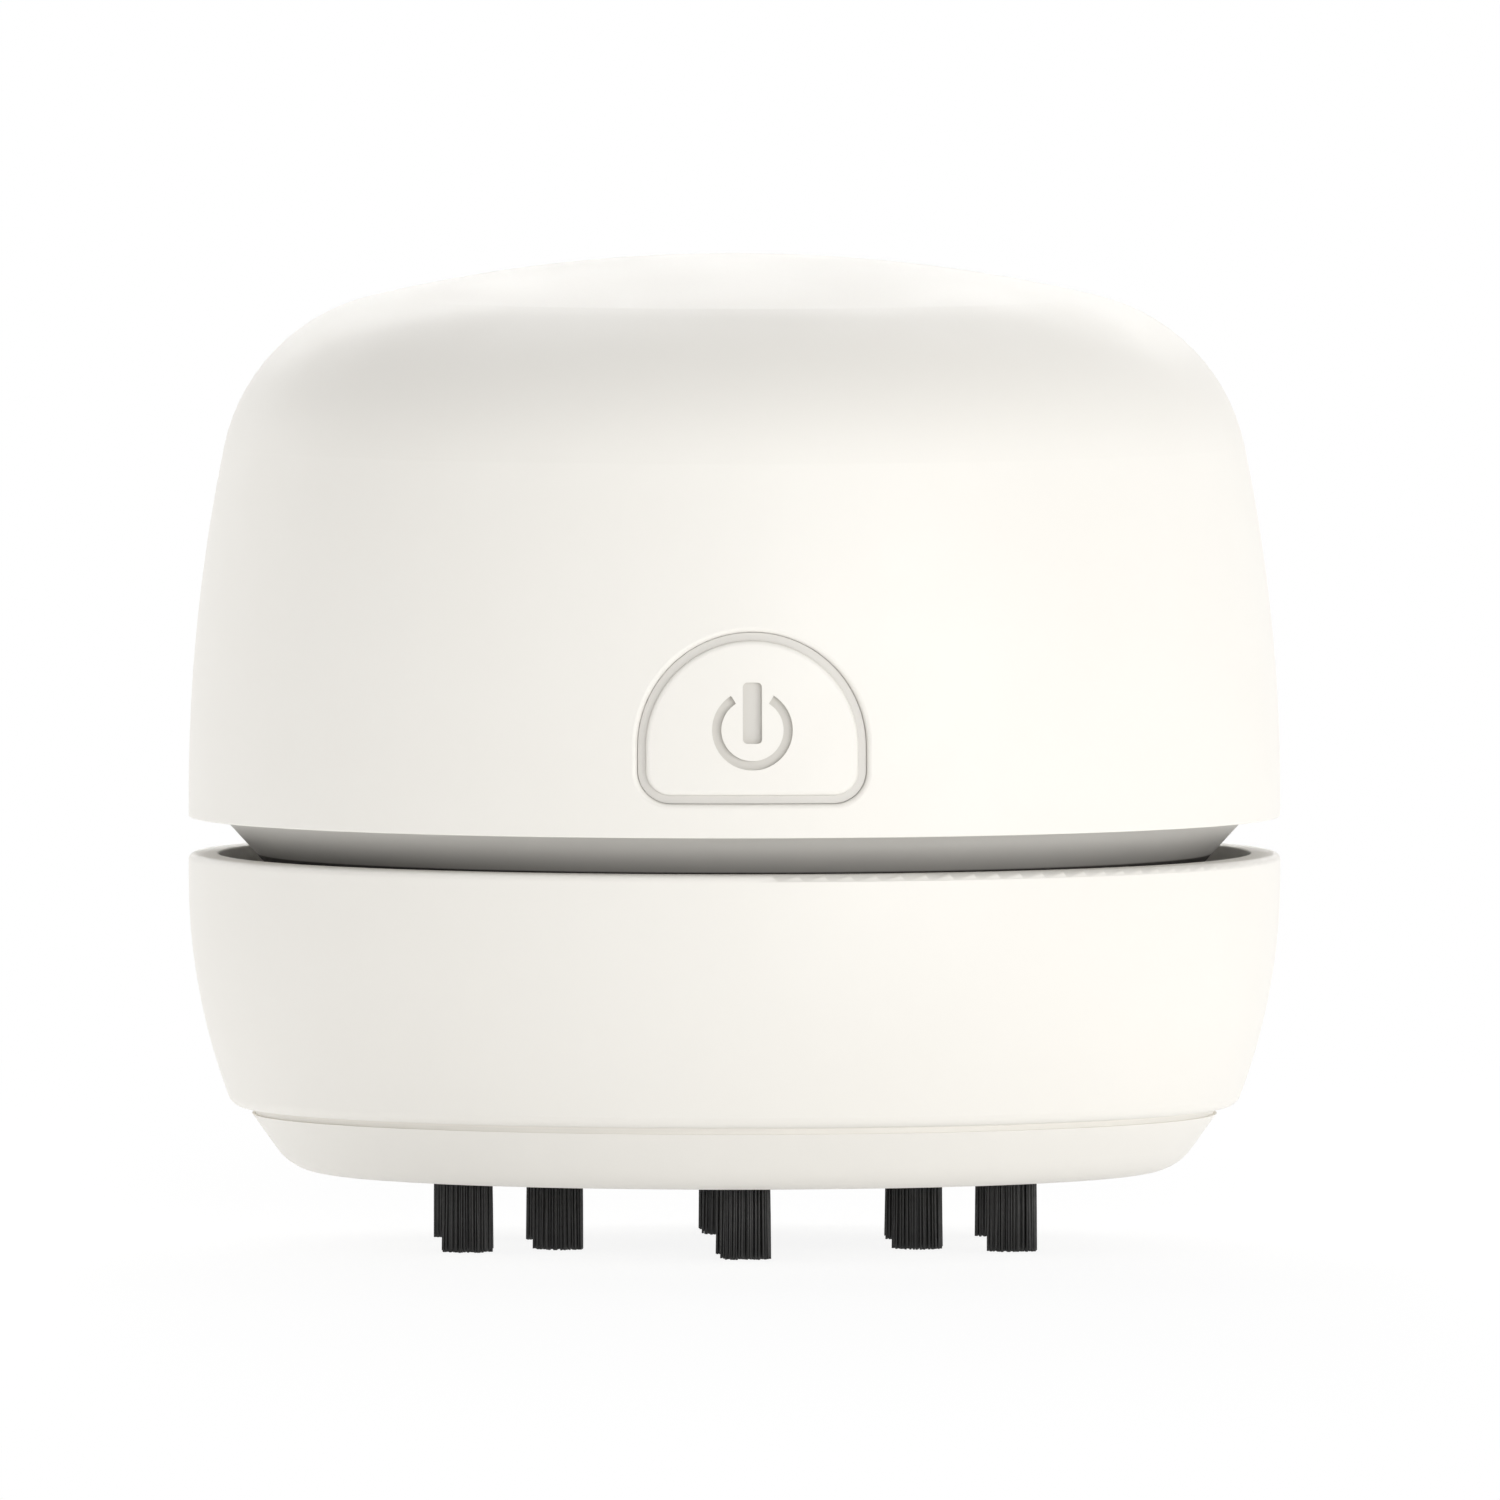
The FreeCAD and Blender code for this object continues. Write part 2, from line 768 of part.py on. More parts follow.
def make_top_shell():
    body = new_body("top_shell")
    posts = Drawing(body, "XY_Plane", floor_top).circles(post_places, size.post_radius)
    pad(body, posts, size.total_height - floor_top)

    # The posts are cut off at mid wall, and the dome is then made over their ends.
    above = Drawing(body, "XZ_Plane")
    curve = above.dome_curve(size.shell_wall / 2)
    high = size.total_height + size.beyond
    corners = [(size.beyond, size.dome_start), (size.beyond, high), (as_size(0), high)]
    above.lines_between(curve["foot"], curve["foot_at"], corners, curve["apex"], curve["apex_at"])
    groove(body, above)

    wall = Drawing(body, "XZ_Plane")
    outer = wall.dome_curve(as_size(0))
    inner = wall.dome_curve(size.shell_wall)
    rim = [
        (size.body_radius, size.shell_rim),
        (size.body_radius - size.shell_wall, size.shell_rim),
    ]
    wall.lines_between(outer["foot"], outer["foot_at"], rim, inner["foot"], inner["foot_at"])
    wall.lines_between(outer["apex"], outer["apex_at"], [], inner["apex"], inner["apex_at"])
    revolve(body, wall)

    pilots = Drawing(body, "XY_Plane", floor_top)
    pilots.circles(post_places, size.wide_shank + size.pilot_gap)
    pocket(body, pilots, size.shell_screw_length, along_normal=True)

    opening = half_disc(Drawing(body, "XZ_Plane", outside), size.button_groove)
    pocket(body, opening, through_shell)

    # Behind the opening's edge the wall is thinned to a lip in front of the button's flange.
    window = Drawing(body, "YZ_Plane")
    low = size.button_foot - size.lip_window_reach
    high = size.button_round_height + size.button_half_width + size.lip_window_reach
    window.outline([
        (-size.lip_window_back, low),
        (-dome_side(low, size.lip_thick), low),
        (-dome_side(high, size.lip_thick), high, size.lip_thick - size.side_radius),
        (-size.lip_window_back, high),
    ])
    groove(body, window, size.lip_window_angle)

    port = Drawing(body, "XZ_Plane", -outside)
    grown = size.usb_opening_gap
    port.rounded(
        -size.usb_width / 2 - grown,
        usb_axis - size.usb_height / 2 - grown,
        size.usb_width / 2 + grown,
        usb_axis + size.usb_height / 2 + grown,
        size.usb_corner + grown,
    )
    pocket(body, port, through_shell, along_normal=True)
    light = Drawing(body, "XZ_Plane", -outside)
    light.circle(size.light_x, size.light_height, size.light_radius + size.fit_gap)
    pocket(body, light, through_shell, along_normal=True)

    fillet(body, size.groove_round, on_dome)
    fillet(body, size.rim_round, ring_edge(size.body_radius, size.shell_rim))


def make_power_button():
    body = new_body("power_button")
    flange = half_disc(Drawing(body, "XZ_Plane", outside), size.flange_reach)
    pad(body, flange, outside - size.plunger_back, backward=True)
    groove(body, skin_outside(body, size.flange_depth))

    # A raised step fills the shell's opening and is the floor of the groove round the face.
    step = half_disc(Drawing(body, "XZ_Plane", outside), size.button_groove - size.slip_gap)
    pad(body, step, outside - size.plunger_back, backward=True)
    groove(body, skin_outside(body, size.groove_depth))

    face = half_disc(Drawing(body, "XZ_Plane", outside), as_size(0))
    pad(body, face, outside - size.plunger_back, backward=True)
    groove(body, skin_outside(body, as_size(0)))
    groove(body, skin_inside(body, size.button_thick))
    fillet(body, size.groove_round, on_dome)

    half = size.plunger_width / 2
    plunger = Drawing(body, "XZ_Plane", size.plunger_back)
    plunger.rectangle(-half, stem_height - half, half, stem_height + half)
    pad(body, plunger, size.body_radius - size.button_thick - size.plunger_back)
    half = size.stem_width / 2 + size.slip_gap
    blind = Drawing(body, "XZ_Plane", size.plunger_back)
    blind.rectangle(-half, stem_height - half, half, stem_height + half)
    pocket(body, blind, size.stem_front - size.plunger_back, along_normal=True)

    # The symbol's floor lies parallel to the sloping face, at an even depth.
    tilt = size.symbol_tilt
    start = size.shell_wall
    lean = size.symbol_height * sine(tilt) / cosine(tilt)
    distance = dome_side(size.symbol_height, 0) - size.symbol_depth + lean + start / cosine(tilt)
    symbol = Drawing(body, "XZ_Plane", distance, lean=-tilt.value)
    power_symbol(symbol)
    pocket(body, symbol, start)


def power_symbol(drawing):
    """A ring open at the top, and an upright bar in its opening."""
    outer = size.symbol_radius
    inner = outer - size.symbol_line
    half_gap = size.symbol_gap_angle

    def on_ring(radius, degrees):
        x, y = polar(radius, degrees)
        return x, size.symbol_height + y

    drawing.outline([
        on_ring(outer, 90 + half_gap),
        (*on_ring(outer, 270), outer),
        (*on_ring(outer, 90 - half_gap), outer),
        on_ring(inner, 90 - half_gap),
        (*on_ring(inner, 270), -inner),
        (*on_ring(inner, 90 + half_gap), -inner),
    ])
    half = size.bar_width / 2
    drawing.rounded(-half, size.bar_foot, half, size.bar_top, size.symbol_line / 2)


def make_switch():
    body = new_body("switch_body")
    half = size.switch_width / 2
    case = Drawing(body, "XY_Plane", board_top)
    case.rectangle(-half, -size.switch_front, half, -size.switch_back)
    pad(body, case, size.switch_height)
    half = size.stem_width / 2 + size.fit_gap
    hole = Drawing(body, "XZ_Plane", size.switch_front)
    hole.rectangle(-half, stem_height - half, half, stem_height + half)
    pocket(body, hole, size.switch_front - size.stem_hole_back)

    body = new_body("switch_stem")
    half = size.stem_width / 2
    stem = Drawing(body, "XZ_Plane", size.stem_back)
    stem.rectangle(-half, stem_height - half, half, stem_height + half)
    pad(body, stem, size.stem_front - size.stem_back)


def make_chassis():
    body = new_body("chassis")
    spigot = size.body_radius - size.shell_wall - size.fit_gap
    inside = spigot - size.spigot_wall
    socket = size.socket_radius
    collar = socket + size.socket_wall
    skirt_slope = (spigot - size.skirt_foot_radius) / (size.shell_rim - size.floor_under)
    revolve(body, Drawing(body, "XZ_Plane").outline([
        (size.shaft_hole, size.floor_under),
        (size.skirt_foot_radius, size.floor_under),
        (spigot, size.shell_rim),
        (spigot, size.spigot_top),
        (inside, size.spigot_top),
        (inside, size.shell_rim),
        (inside - (size.shell_rim - floor_top) * skirt_slope, floor_top),
        (collar, floor_top),
        (collar, size.socket_top),
        (socket, size.socket_top),
        (socket, floor_top),
        (size.shaft_hole, floor_top),
    ]))
    cage_bosses = Drawing(body, "XY_Plane", floor_top)
    cage_bosses.circles(cage_screw_places, size.cage_post_radius)
    pad(body, cage_bosses, size.board_under - floor_top)
    board_bosses = Drawing(body, "XY_Plane", floor_top)
    board_bosses.circles(board_screw_places, size.board_boss_radius)
    pad(body, board_bosses, size.board_under - floor_top)
    clamp_bosses = Drawing(body, "XY_Plane", floor_top)
    clamp_bosses.circles(clamp_places, size.clamp_boss_radius)
    pad(body, clamp_bosses, size.socket_top - floor_top)

    shell_holes = Drawing(body, "XY_Plane", floor_top)
    shell_holes.circles(post_places, size.wide_shank + size.hole_gap)
    pocket(body, shell_holes, size.floor_thick)
    cage_pilots = Drawing(body, "XY_Plane", size.floor_under)
    cage_pilots.circles(cage_screw_places, size.middle_shank + size.pilot_gap)
    pocket(body, cage_pilots, size.cage_pilot_depth, along_normal=True)
    board_pilots = Drawing(body, "XY_Plane", size.board_under)
    board_pilots.circles(board_screw_places, size.thin_shank + size.pilot_gap)
    pocket(body, board_pilots, size.board_under - floor_top)
    clamp_pilots = Drawing(body, "XY_Plane", size.socket_top)
    clamp_pilots.circles(clamp_places, size.thin_shank + size.pilot_gap)
    pocket(body, clamp_pilots, size.clamp_screw_length)

    # The upright ring is cut away behind the power button.
    notch = Drawing(body, "XZ_Plane", outside)
    notch.rectangle(-size.notch_half_width, size.notch_foot, size.notch_half_width, size.beyond)
    pocket(body, notch, outside - size.plunger_back)


def make_fan_cage():
    body = new_body("fan_cage")
    top = size.cage_under + size.cage_rim_height
    middle = size.cage_under + size.cage_rim_height / 2
    half = size.seal_groove_height / 2
    plate_top = size.cage_under + size.plate_thick
    revolve(body, Drawing(body, "XZ_Plane").outline([
        (size.eye_radius, size.cage_under),
        (size.cage_radius, size.cage_under),
        (size.cage_radius, middle - half),
        (size.cage_radius - size.seal_groove_depth, middle - half),
        (size.cage_radius - size.seal_groove_depth, middle + half),
        (size.cage_radius, middle + half),
        (size.cage_radius, top),
        (size.cage_radius - size.cage_rim_wall, top),
        (size.cage_radius - size.cage_rim_wall, plate_top),
        (size.eye_radius, plate_top),
    ]))
    post = Drawing(body, "XY_Plane", size.cage_under)
    post.circle(0, size.cage_post_circle, size.cage_post_radius)
    repeat_round(body, [pad(body, post, size.floor_under - size.cage_under)], CAGE_POSTS)

    bar = Drawing(body, "XY_Plane", size.cage_under)
    bar.rectangle(0, -size.guard_bar / 2, size.eye_radius + size.free_gap, size.guard_bar / 2)
    repeat_round(body, [pad(body, bar, size.guard_thick)], GUARD_BARS)
    ring = Drawing(body, "XY_Plane", size.cage_under)
    ring.circle(0, 0, size.guard_ring - size.guard_bar / 2)
    ring.circle(0, 0, size.guard_ring + size.guard_bar / 2)
    pad(body, ring, size.guard_thick)

    recesses = Drawing(body, "XY_Plane", size.cage_under)
    recesses.circles(cage_screw_places, size.middle_head + size.hole_gap)
    pocket(body, recesses, size.cage_screw_seat - size.cage_under, along_normal=True)
    holes = Drawing(body, "XY_Plane", size.cage_screw_seat)
    holes.circles(cage_screw_places, size.middle_shank + size.hole_gap)
    pocket(body, holes, size.floor_under - size.cage_screw_seat, along_normal=True)


def make_cage_seal():
    ring = document.addObject("Part::Torus", "cage_seal")
    ring.Label = "cage_seal"
    bind(ring, "Radius1", size.seal_radius)
    bind(ring, "Radius2", size.seal_section)
    bind(ring, "Placement.Base.z", size.cage_under + size.cage_rim_height / 2)
    pieces.append(ring)


def make_impeller():
    body = new_body("impeller")
    bore = size.shaft_radius + size.slip_gap
    disc_under = size.impeller_top - size.back_disc_thick
    revolve(body, Drawing(body, "XZ_Plane").outline([
        (bore, size.vane_under),
        (size.hub_radius - size.vane_thick, size.vane_under),
        (size.hub_radius, size.vane_under + size.vane_thick),
        (size.hub_radius, disc_under - size.vane_thick),
        (size.hub_radius + size.vane_thick, disc_under, -size.vane_thick),
        (size.impeller_radius, disc_under),
        (size.impeller_radius, size.impeller_top),
        (bore, size.impeller_top),
    ]))
    tip = size.impeller_radius - size.fit_gap
    start_turn = size.vane_thick / size.vane_start * DEGREES_PER_RADIAN
    tip_turn = size.vane_thick / tip * DEGREES_PER_RADIAN
    vane = Drawing(body, "XY_Plane", size.vane_under).outline([
        (*polar(size.vane_start, 0), size.vane_curve),
        polar(size.vane_start, start_turn),
        (*polar(tip, tip_turn - size.vane_sweep), -size.vane_curve),
        polar(tip, -size.vane_sweep),
    ])
    blade = pad(body, vane, disc_under - size.vane_under + size.back_disc_thick / 2)
    repeat_round(body, [blade], VANES)


def motor_section(drawing, inset):
    """The motor's outline: a circle with a flat at the front and back."""
    radius = size.motor_radius - inset
    flat = size.motor_flat - inset
    half = root(radius * radius - flat * flat)
    return drawing.outline([(half, -flat), (half, flat, radius), (-half, flat), (-half, -flat, radius)])


def motor_body(label):
    return new_body(label, z=size.motor_base)


def make_motor_housing():
    body = motor_body("motor_can")
    pad(body, motor_section(Drawing(body, "XY_Plane"), as_size(0)), size.can_height)
    hollow = motor_section(Drawing(body, "XY_Plane", size.can_height), size.can_wall)
    pocket(body, hollow, size.can_height - size.can_wall)
    boss = Drawing(body, "XY_Plane").circle(0, 0, size.bearing_boss_radius)
    pad(body, boss, size.bearing_boss_height, backward=True)
    seat = Drawing(body, "XY_Plane", size.can_wall).circle(0, 0, size.bush_radius)
    pocket(body, seat, size.can_wall + size.bearing_boss_height)

    body = motor_body("motor_end_cap")
    cap_top = size.can_height + size.end_cap_height
    cap = motor_section(Drawing(body, "XY_Plane", size.can_height), as_size(0))
    pad(body, cap, size.end_cap_height)
    boss = Drawing(body, "XY_Plane", cap_top).circle(0, 0, size.end_cap_boss_radius)
    pad(body, boss, size.end_cap_boss)
    space = Drawing(body, "XY_Plane", size.can_height).circle(0, 0, size.brush_space)
    pocket(body, space, size.brush_space_height, along_normal=True)
    seat = Drawing(body, "XY_Plane", size.can_height).circle(0, 0, size.bush_radius)
    pocket(body, seat, size.end_cap_height, along_normal=True)
    slots = terminal_outlines(Drawing(body, "XY_Plane", cap_top))
    pocket(body, slots, size.end_cap_height)

    body = motor_body("motor_terminals")
    tabs = terminal_outlines(Drawing(body, "XY_Plane", size.can_height + size.can_wall))
    pad(body, tabs, size.terminal_top - size.can_height - size.can_wall)

    body = motor_body("motor_bushes")
    bore = size.shaft_radius + size.slip_gap
    bushes = Drawing(body, "XZ_Plane")
    bushes.rectangle(bore, -size.bearing_boss_height, size.bush_radius, size.can_wall)
    upper_foot = size.can_height + size.brush_space_height
    bushes.rectangle(bore, upper_foot, size.bush_radius, size.can_height + size.end_cap_height)
    revolve(body, bushes)

    body = motor_body("motor_magnets")
    magnets = Drawing(body, "XY_Plane", size.magnet_foot)
    for side in (0, 180):
        magnets.sector(size.magnet_inner, size.magnet_outer, side, size.magnet_half_angle)
    pad(body, magnets, size.magnet_length)

    body = motor_body("motor_brushes")
    leaves = Drawing(body, "XY_Plane", size.commutator_top - size.brush_height)
    near = size.commutator_radius + size.fit_gap
    far = near + size.brush_leaf
    for low, high in ((near, far), (-far, -near)):
        leaves.rectangle(low, -size.brush_front, high, size.brush_back)
    pad(body, leaves, size.can_height + size.brush_space_height
        - size.commutator_top + size.brush_height)


def terminal_outlines(drawing):
    thick, wide = size.terminal_thick / 2, size.terminal_width / 2
    for side in (1, -1):
        x = side * size.terminal_x
        drawing.rectangle(x - thick, -size.terminal_y - wide, x + thick, -size.terminal_y + wide)
    return drawing


def make_motor_rotor():
    body = motor_body("motor_shaft")
    shaft = Drawing(body, "XY_Plane", -size.shaft_below).circle(0, 0, size.shaft_radius)
    pad(body, shaft, size.shaft_below + size.can_height + size.end_cap_height - size.free_gap)

    bore = size.shaft_radius + size.slip_gap
    body = motor_body("rotor_core")
    hub = Drawing(body, "XY_Plane", size.core_foot).circle(0, 0, size.core_hub_radius)
    pad(body, hub, size.core_height)
    stem = Drawing(body, "XY_Plane", size.core_foot)
    stem.rectangle(0, -size.pole_width / 2, size.pole_inner + size.fit_gap, size.pole_width / 2)
    pole = Drawing(body, "XY_Plane", size.core_foot)
    pole.sector(size.pole_inner, size.core_radius, 0, size.pole_half_angle)
    arm = pad(body, stem, size.core_height)
    head = pad(body, pole, size.core_height)
    repeat_round(body, [arm, head], POLES)
    hole = Drawing(body, "XY_Plane", size.core_foot).circle(0, 0, bore)
    pocket(body, hole, size.core_height, along_normal=True)

    body = motor_body("rotor_windings")
    turns = size.winding_thick
    half = size.pole_width / 2 + size.slip_gap
    low = size.core_foot - size.slip_gap
    high = size.core_foot + size.core_height + size.slip_gap
    coil = Drawing(body, "YZ_Plane", size.winding_start)
    coil.rectangle(-half - turns, low - turns, half + turns, high + turns)
    coil.rectangle(-half, low, half, high)
    repeat_round(body, [pad(body, coil, size.winding_depth)], POLES)

    body = motor_body("commutator")
    bars = Drawing(body, "XY_Plane", size.commutator_foot)
    bars.circle(0, 0, size.commutator_radius).circle(0, 0, bore)
    pad(body, bars, size.commutator_top - size.commutator_foot)
    slot = Drawing(body, "XY_Plane", size.commutator_top)
    reach = size.commutator_radius + size.fit_gap
    slot.rectangle(size.slot_start, -size.fit_gap, reach, size.fit_gap)
    repeat_round(body, [pocket(body, slot, size.slot_depth)], POLES)


def make_motor_mounting():
    body = motor_body("motor_damper")
    foot = floor_top - size.motor_base
    height = size.socket_top - size.motor_base
    sleeve = Drawing(body, "XY_Plane", foot)
    sleeve.circle(0, 0, size.socket_radius - size.slip_gap)
    pad(body, sleeve, height - foot)
    hollow = motor_section(Drawing(body, "XY_Plane", height), -size.slip_gap)
    pocket(body, hollow, height)
    hole = Drawing(body, "XY_Plane").circle(0, 0, size.bearing_boss_radius + size.fit_gap)
    pocket(body, hole, size.motor_base - floor_top)

    body = new_body("motor_clamp")
    low = size.socket_top
    high = size.motor_base + motor_top
    thick = size.strap_thick
    leg = size.strap_leg_x
    foot = size.strap_foot_x
    strap = Drawing(body, "XZ_Plane").outline([
        (-foot, low),
        (-leg, low),
        (-leg, high),
        (leg, high),
        (leg, low),
        (foot, low),
        (foot, low + thick),
        (leg + thick, low + thick),
        (leg + thick, high + thick),
        (-leg - thick, high + thick),
        (-leg - thick, low + thick),
        (-foot, low + thick),
    ])
    pad(body, strap, size.strap_width, both_ways=True)
    holes = Drawing(body, "XY_Plane", low + thick)
    holes.circles(clamp_places, size.thin_shank + size.hole_gap)
    pocket(body, holes, thick)

    def outer_bend(edge):
        box = edge.BoundBox
        across = abs(box.YLength - size.strap_width.value) < 0.01
        return across and box.ZLength < 0.01 and abs(box.ZMax - (high + thick).value) < 0.01

    fillet(body, thick, outer_bend)


def make_screws(label, places, seat, upward, head, shank, length):
    """Screws of one kind, with their heads against a seat and a cross recess in each head."""
    body = new_body(label, z=seat)
    height = head * HEAD_HEIGHT
    heads = Drawing(body, "XY_Plane").circles(places, head)
    pad(body, heads, height, backward=upward)
    shanks = Drawing(body, "XY_Plane").circles(places, shank)
    pad(body, shanks, length, backward=not upward)
    arm = head * CROSS_REACH
    half = head * CROSS_HALF_WIDTH
    crosses = Drawing(body, "XY_Plane", -height if upward else height)
    for x, y in places:
        crosses.outline([
            (x - arm, y - half), (x - half, y - half), (x - half, y - arm),
            (x + half, y - arm), (x + half, y - half), (x + arm, y - half),
            (x + arm, y + half), (x + half, y + half), (x + half, y + arm),
            (x - half, y + arm), (x - half, y + half), (x - arm, y + half),
        ])
    pocket(body, crosses, height / 2, along_normal=upward)


def make_all_screws():
    thin = (size.thin_head, size.thin_shank)
    middle = (size.middle_head, size.middle_shank)
    wide = (size.wide_head, size.wide_shank)
    clamp_seat = size.socket_top + size.strap_thick
    for label, places, seat, upward, kind, length in (
        ("shell_screws", post_places, size.floor_under, True, wide, size.shell_screw_length),
        ("cage_screws", cage_screw_places, size.cage_screw_seat, True, middle, size.cage_screw_length),
        ("board_screws", board_screw_places, board_top, False, thin, size.board_screw_length),
        ("clamp_screws", clamp_places, clamp_seat, False, thin, size.clamp_screw_length),
        ("tray_screws", tray_screw_places, size.tray_screw_seat, True, middle, size.tray_screw_length),
    ):
        make_screws(label, places, seat, upward, *kind, length)


def make_circuit_board():
    body = new_body("circuit_board")
    ring = Drawing(body, "XY_Plane", size.board_under)
    ring.circle(0, 0, size.board_radius).circle(0, 0, size.board_hole)
    pad(body, ring, size.board_thick)
    holes = Drawing(body, "XY_Plane", board_top)
    holes.circles(post_places, size.post_radius + size.free_gap)
    holes.circles(board_screw_places, size.thin_shank + size.hole_gap)
    pocket(body, holes, size.board_thick)

    body = new_body("board_components")
    for angle, length, width, height in (       # angle from the X axis
        (205, size.chip_length, size.chip_width, size.chip_height),
        (0, size.coil_width, size.coil_width, size.coil_height),
        (335, size.chip_width, size.chip_height, size.chip_height),
        (180, size.resistor_length, size.resistor_width, size.resistor_height),
        (175, size.resistor_length, size.resistor_width, size.resistor_height),
        (240, size.resistor_length, size.resistor_width, size.resistor_height),
    ):
        x, y = polar(size.component_circle, angle)
        block = Drawing(body, "XY_Plane", board_top)
        block.rectangle(x - length / 2, y - width / 2, x + length / 2, y + width / 2)
        pad(body, block, height)
    can = Drawing(body, "XY_Plane", board_top)
    can.circle(*polar(size.capacitor_circle, CAPACITOR_TURN), size.capacitor_radius)
    pad(body, can, size.capacitor_height)


def make_charging_parts():
    body = new_body("charging_socket", y=size.usb_mouth, z=usb_axis)
    half_width, half_height = size.usb_width / 2, size.usb_height / 2
    case = Drawing(body, "XZ_Plane")
    case.rounded(-half_width, -half_height, half_width, half_height, size.usb_corner)
    pad(body, case, size.usb_length)
    metal = size.usb_metal
    mouth = Drawing(body, "XZ_Plane")
    mouth.rounded(
        metal - half_width, metal - half_height, half_width - metal, half_height - metal,
        size.usb_corner - metal,
    )
    pocket(body, mouth, size.usb_length - size.usb_back_wall, along_normal=True)
    tongue = Drawing(body, "XZ_Plane", size.tongue_setback)
    half, thin = size.tongue_half_width, size.tongue_half_thick
    tongue.rectangle(-half, -thin, half, thin)
    pad(body, tongue, size.usb_length - size.usb_back_wall / 2 - size.tongue_setback)

    light = document.addObject("Part::Box", "charge_light")
    light.Label = "charge_light"
    side = size.light_radius * 2
    bind(light, "Length", side)
    bind(light, "Width", size.light_thick)
    bind(light, "Height", side)
    bind(light, "Placement.Base.x", size.light_x - side / 2)
    bind(light, "Placement.Base.y", size.light_back - size.light_thick)
    bind(light, "Placement.Base.z", board_top)
    pieces.append(light)

    body = new_body("light_pipe")
    rod = Drawing(body, "XZ_Plane", -size.light_back)
    rod.circle(size.light_x, size.light_height, size.light_radius)
    pad(body, rod, outside - size.light_back, backward=True)
    groove(body, skin_outside(body, as_size(0)))


def make_battery():
    body = new_body("battery_cell", y=size.cell_y, z=size.cell_height, axis=(0, 1, 0), turn=90)
    radius = size.cell_radius
    half = size.cell_length / 2
    bevel = size.cell_bevel
    groove_middle = half - size.cell_groove
    revolve(body, Drawing(body, "XZ_Plane").outline([
        (as_size(0), -half),
        (radius - bevel, -half),
        (radius, bevel - half, bevel),
        (radius, groove_middle - bevel / 2),
        (radius - bevel / 2, groove_middle),
        (radius, groove_middle + bevel / 2),
        (radius, half - bevel * 2),
        (radius - bevel, half - bevel, bevel),
        (size.cell_nub, half - bevel),
        (size.cell_nub, half),
        (as_size(0), half),
    ]))

    body = new_body("battery_cradle", y=size.cell_y, z=size.cell_height)
    inner = radius + size.fit_gap
    outer = inner + size.cradle_wall
    zero = as_size(0)
    trough = Drawing(body, "YZ_Plane").outline([
        (inner, zero),
        (zero, -inner, -inner),
        (-inner, zero, -inner),
        (-outer, zero),
        (zero, -outer, outer),
        (outer, zero, outer),
    ])
    pad(body, trough, size.cradle_half_length * 2, both_ways=True)
    for start in (size.cradle_half_length - size.cradle_wall, -size.cradle_half_length):
        end_wall = Drawing(body, "YZ_Plane", start).outline([
            (outer, size.cradle_end_rise),
            (-outer, size.cradle_end_rise),
            (-outer, zero),
            (zero, -outer, outer),
            (outer, zero, outer),
        ])
        pad(body, end_wall, size.cradle_wall)
    foot_half = size.cradle_foot_width / 2
    leg_top = size.cradle_wall / 2 - outer
    for start in (size.cradle_foot_x, -size.cradle_foot_x - size.cradle_leg_thick):
        leg = Drawing(body, "YZ_Plane", start)
        leg.rectangle(-foot_half, board_top - size.cell_height, foot_half, leg_top)
        pad(body, leg, size.cradle_leg_thick)

    body = new_body("battery_tabs", y=size.cell_y, z=size.cell_height)
    for start in (half + size.slip_gap, -half - size.slip_gap - size.tab_thick):
        tab = Drawing(body, "YZ_Plane", start)
        tab.rectangle(-size.tab_half_width, -size.tab_half_width, size.tab_half_width, size.tab_top)
        pad(body, tab, size.tab_thick)


def make_lead(label, turn, y, height, start, down, bend):
    """A lead that leaves a tab level, bends down, and ends on the circuit board."""
    body = new_body(label, y=y, axis=(0, 0, 1), turn=turn)
    section = Drawing(body, "YZ_Plane", start).circle(0, height, size.lead_radius)
    route = Drawing(body, "XZ_Plane")
    corners = [(start, height), (down - bend, height), (down, height - bend), (down, board_top)]
    level = route.line(corners[0], corners[1])
    curve = route.arc(corners[1], corners[2], -bend)
    drop = route.line(corners[2], corners[3])
    route.pin(*level[0], *corners[0])
    for (before, after), corner in zip(((level, curve), (curve, drop)), corners[1:]):
        route.join(before[1], after[0])
        route.pin(*before[1], *corner)
    route.pin(*drop[1], *corners[3])
    pipe = body.newObject("PartDesign::AdditivePipe", "AdditivePipe")
    pipe.Profile = section.sketch
    pipe.Spine = (route.sketch, [])
    must_grow(body, 0.0, True)
    length = down - bend - start + bend * math.pi / 2 + height - bend - board_top
    expected = math.pi * size.lead_radius.value**2 * length.value
    if abs(body.Shape.Volume / expected - 1) > 0.01:
        raise ValueError(f"{label}: the lead's volume is wrong")


def make_wiring():
    tab_face = size.cell_length / 2 + size.slip_gap + size.tab_thick
    battery_height = size.cell_height + size.tab_top - size.lead_drop
    terminal_face = size.terminal_x + size.terminal_thick / 2
    motor_height = size.motor_base + size.terminal_top - size.lead_drop
    for name, turn in (("red", 0), ("black", 180)):
        make_lead(f"battery_lead_{name}", turn, size.cell_y, battery_height,
                  tab_face, size.battery_lead_x, size.battery_lead_bend)
        make_lead(f"motor_lead_{name}", turn, -size.terminal_y, motor_height,
                  terminal_face, size.motor_lead_x, size.motor_lead_bend)

    body = new_body("noise_capacitor", y=-size.terminal_y, z=motor_height)
    disc = Drawing(body, "XZ_Plane").circle(0, 0, size.suppressor_radius)
    pad(body, disc, size.suppressor_thick, both_ways=True)
    gap = size.terminal_x - size.terminal_thick / 2
    bridge = Drawing(body, "YZ_Plane").circle(0, 0, size.suppressor_wire)
    pad(body, bridge, gap * 2, both_ways=True)


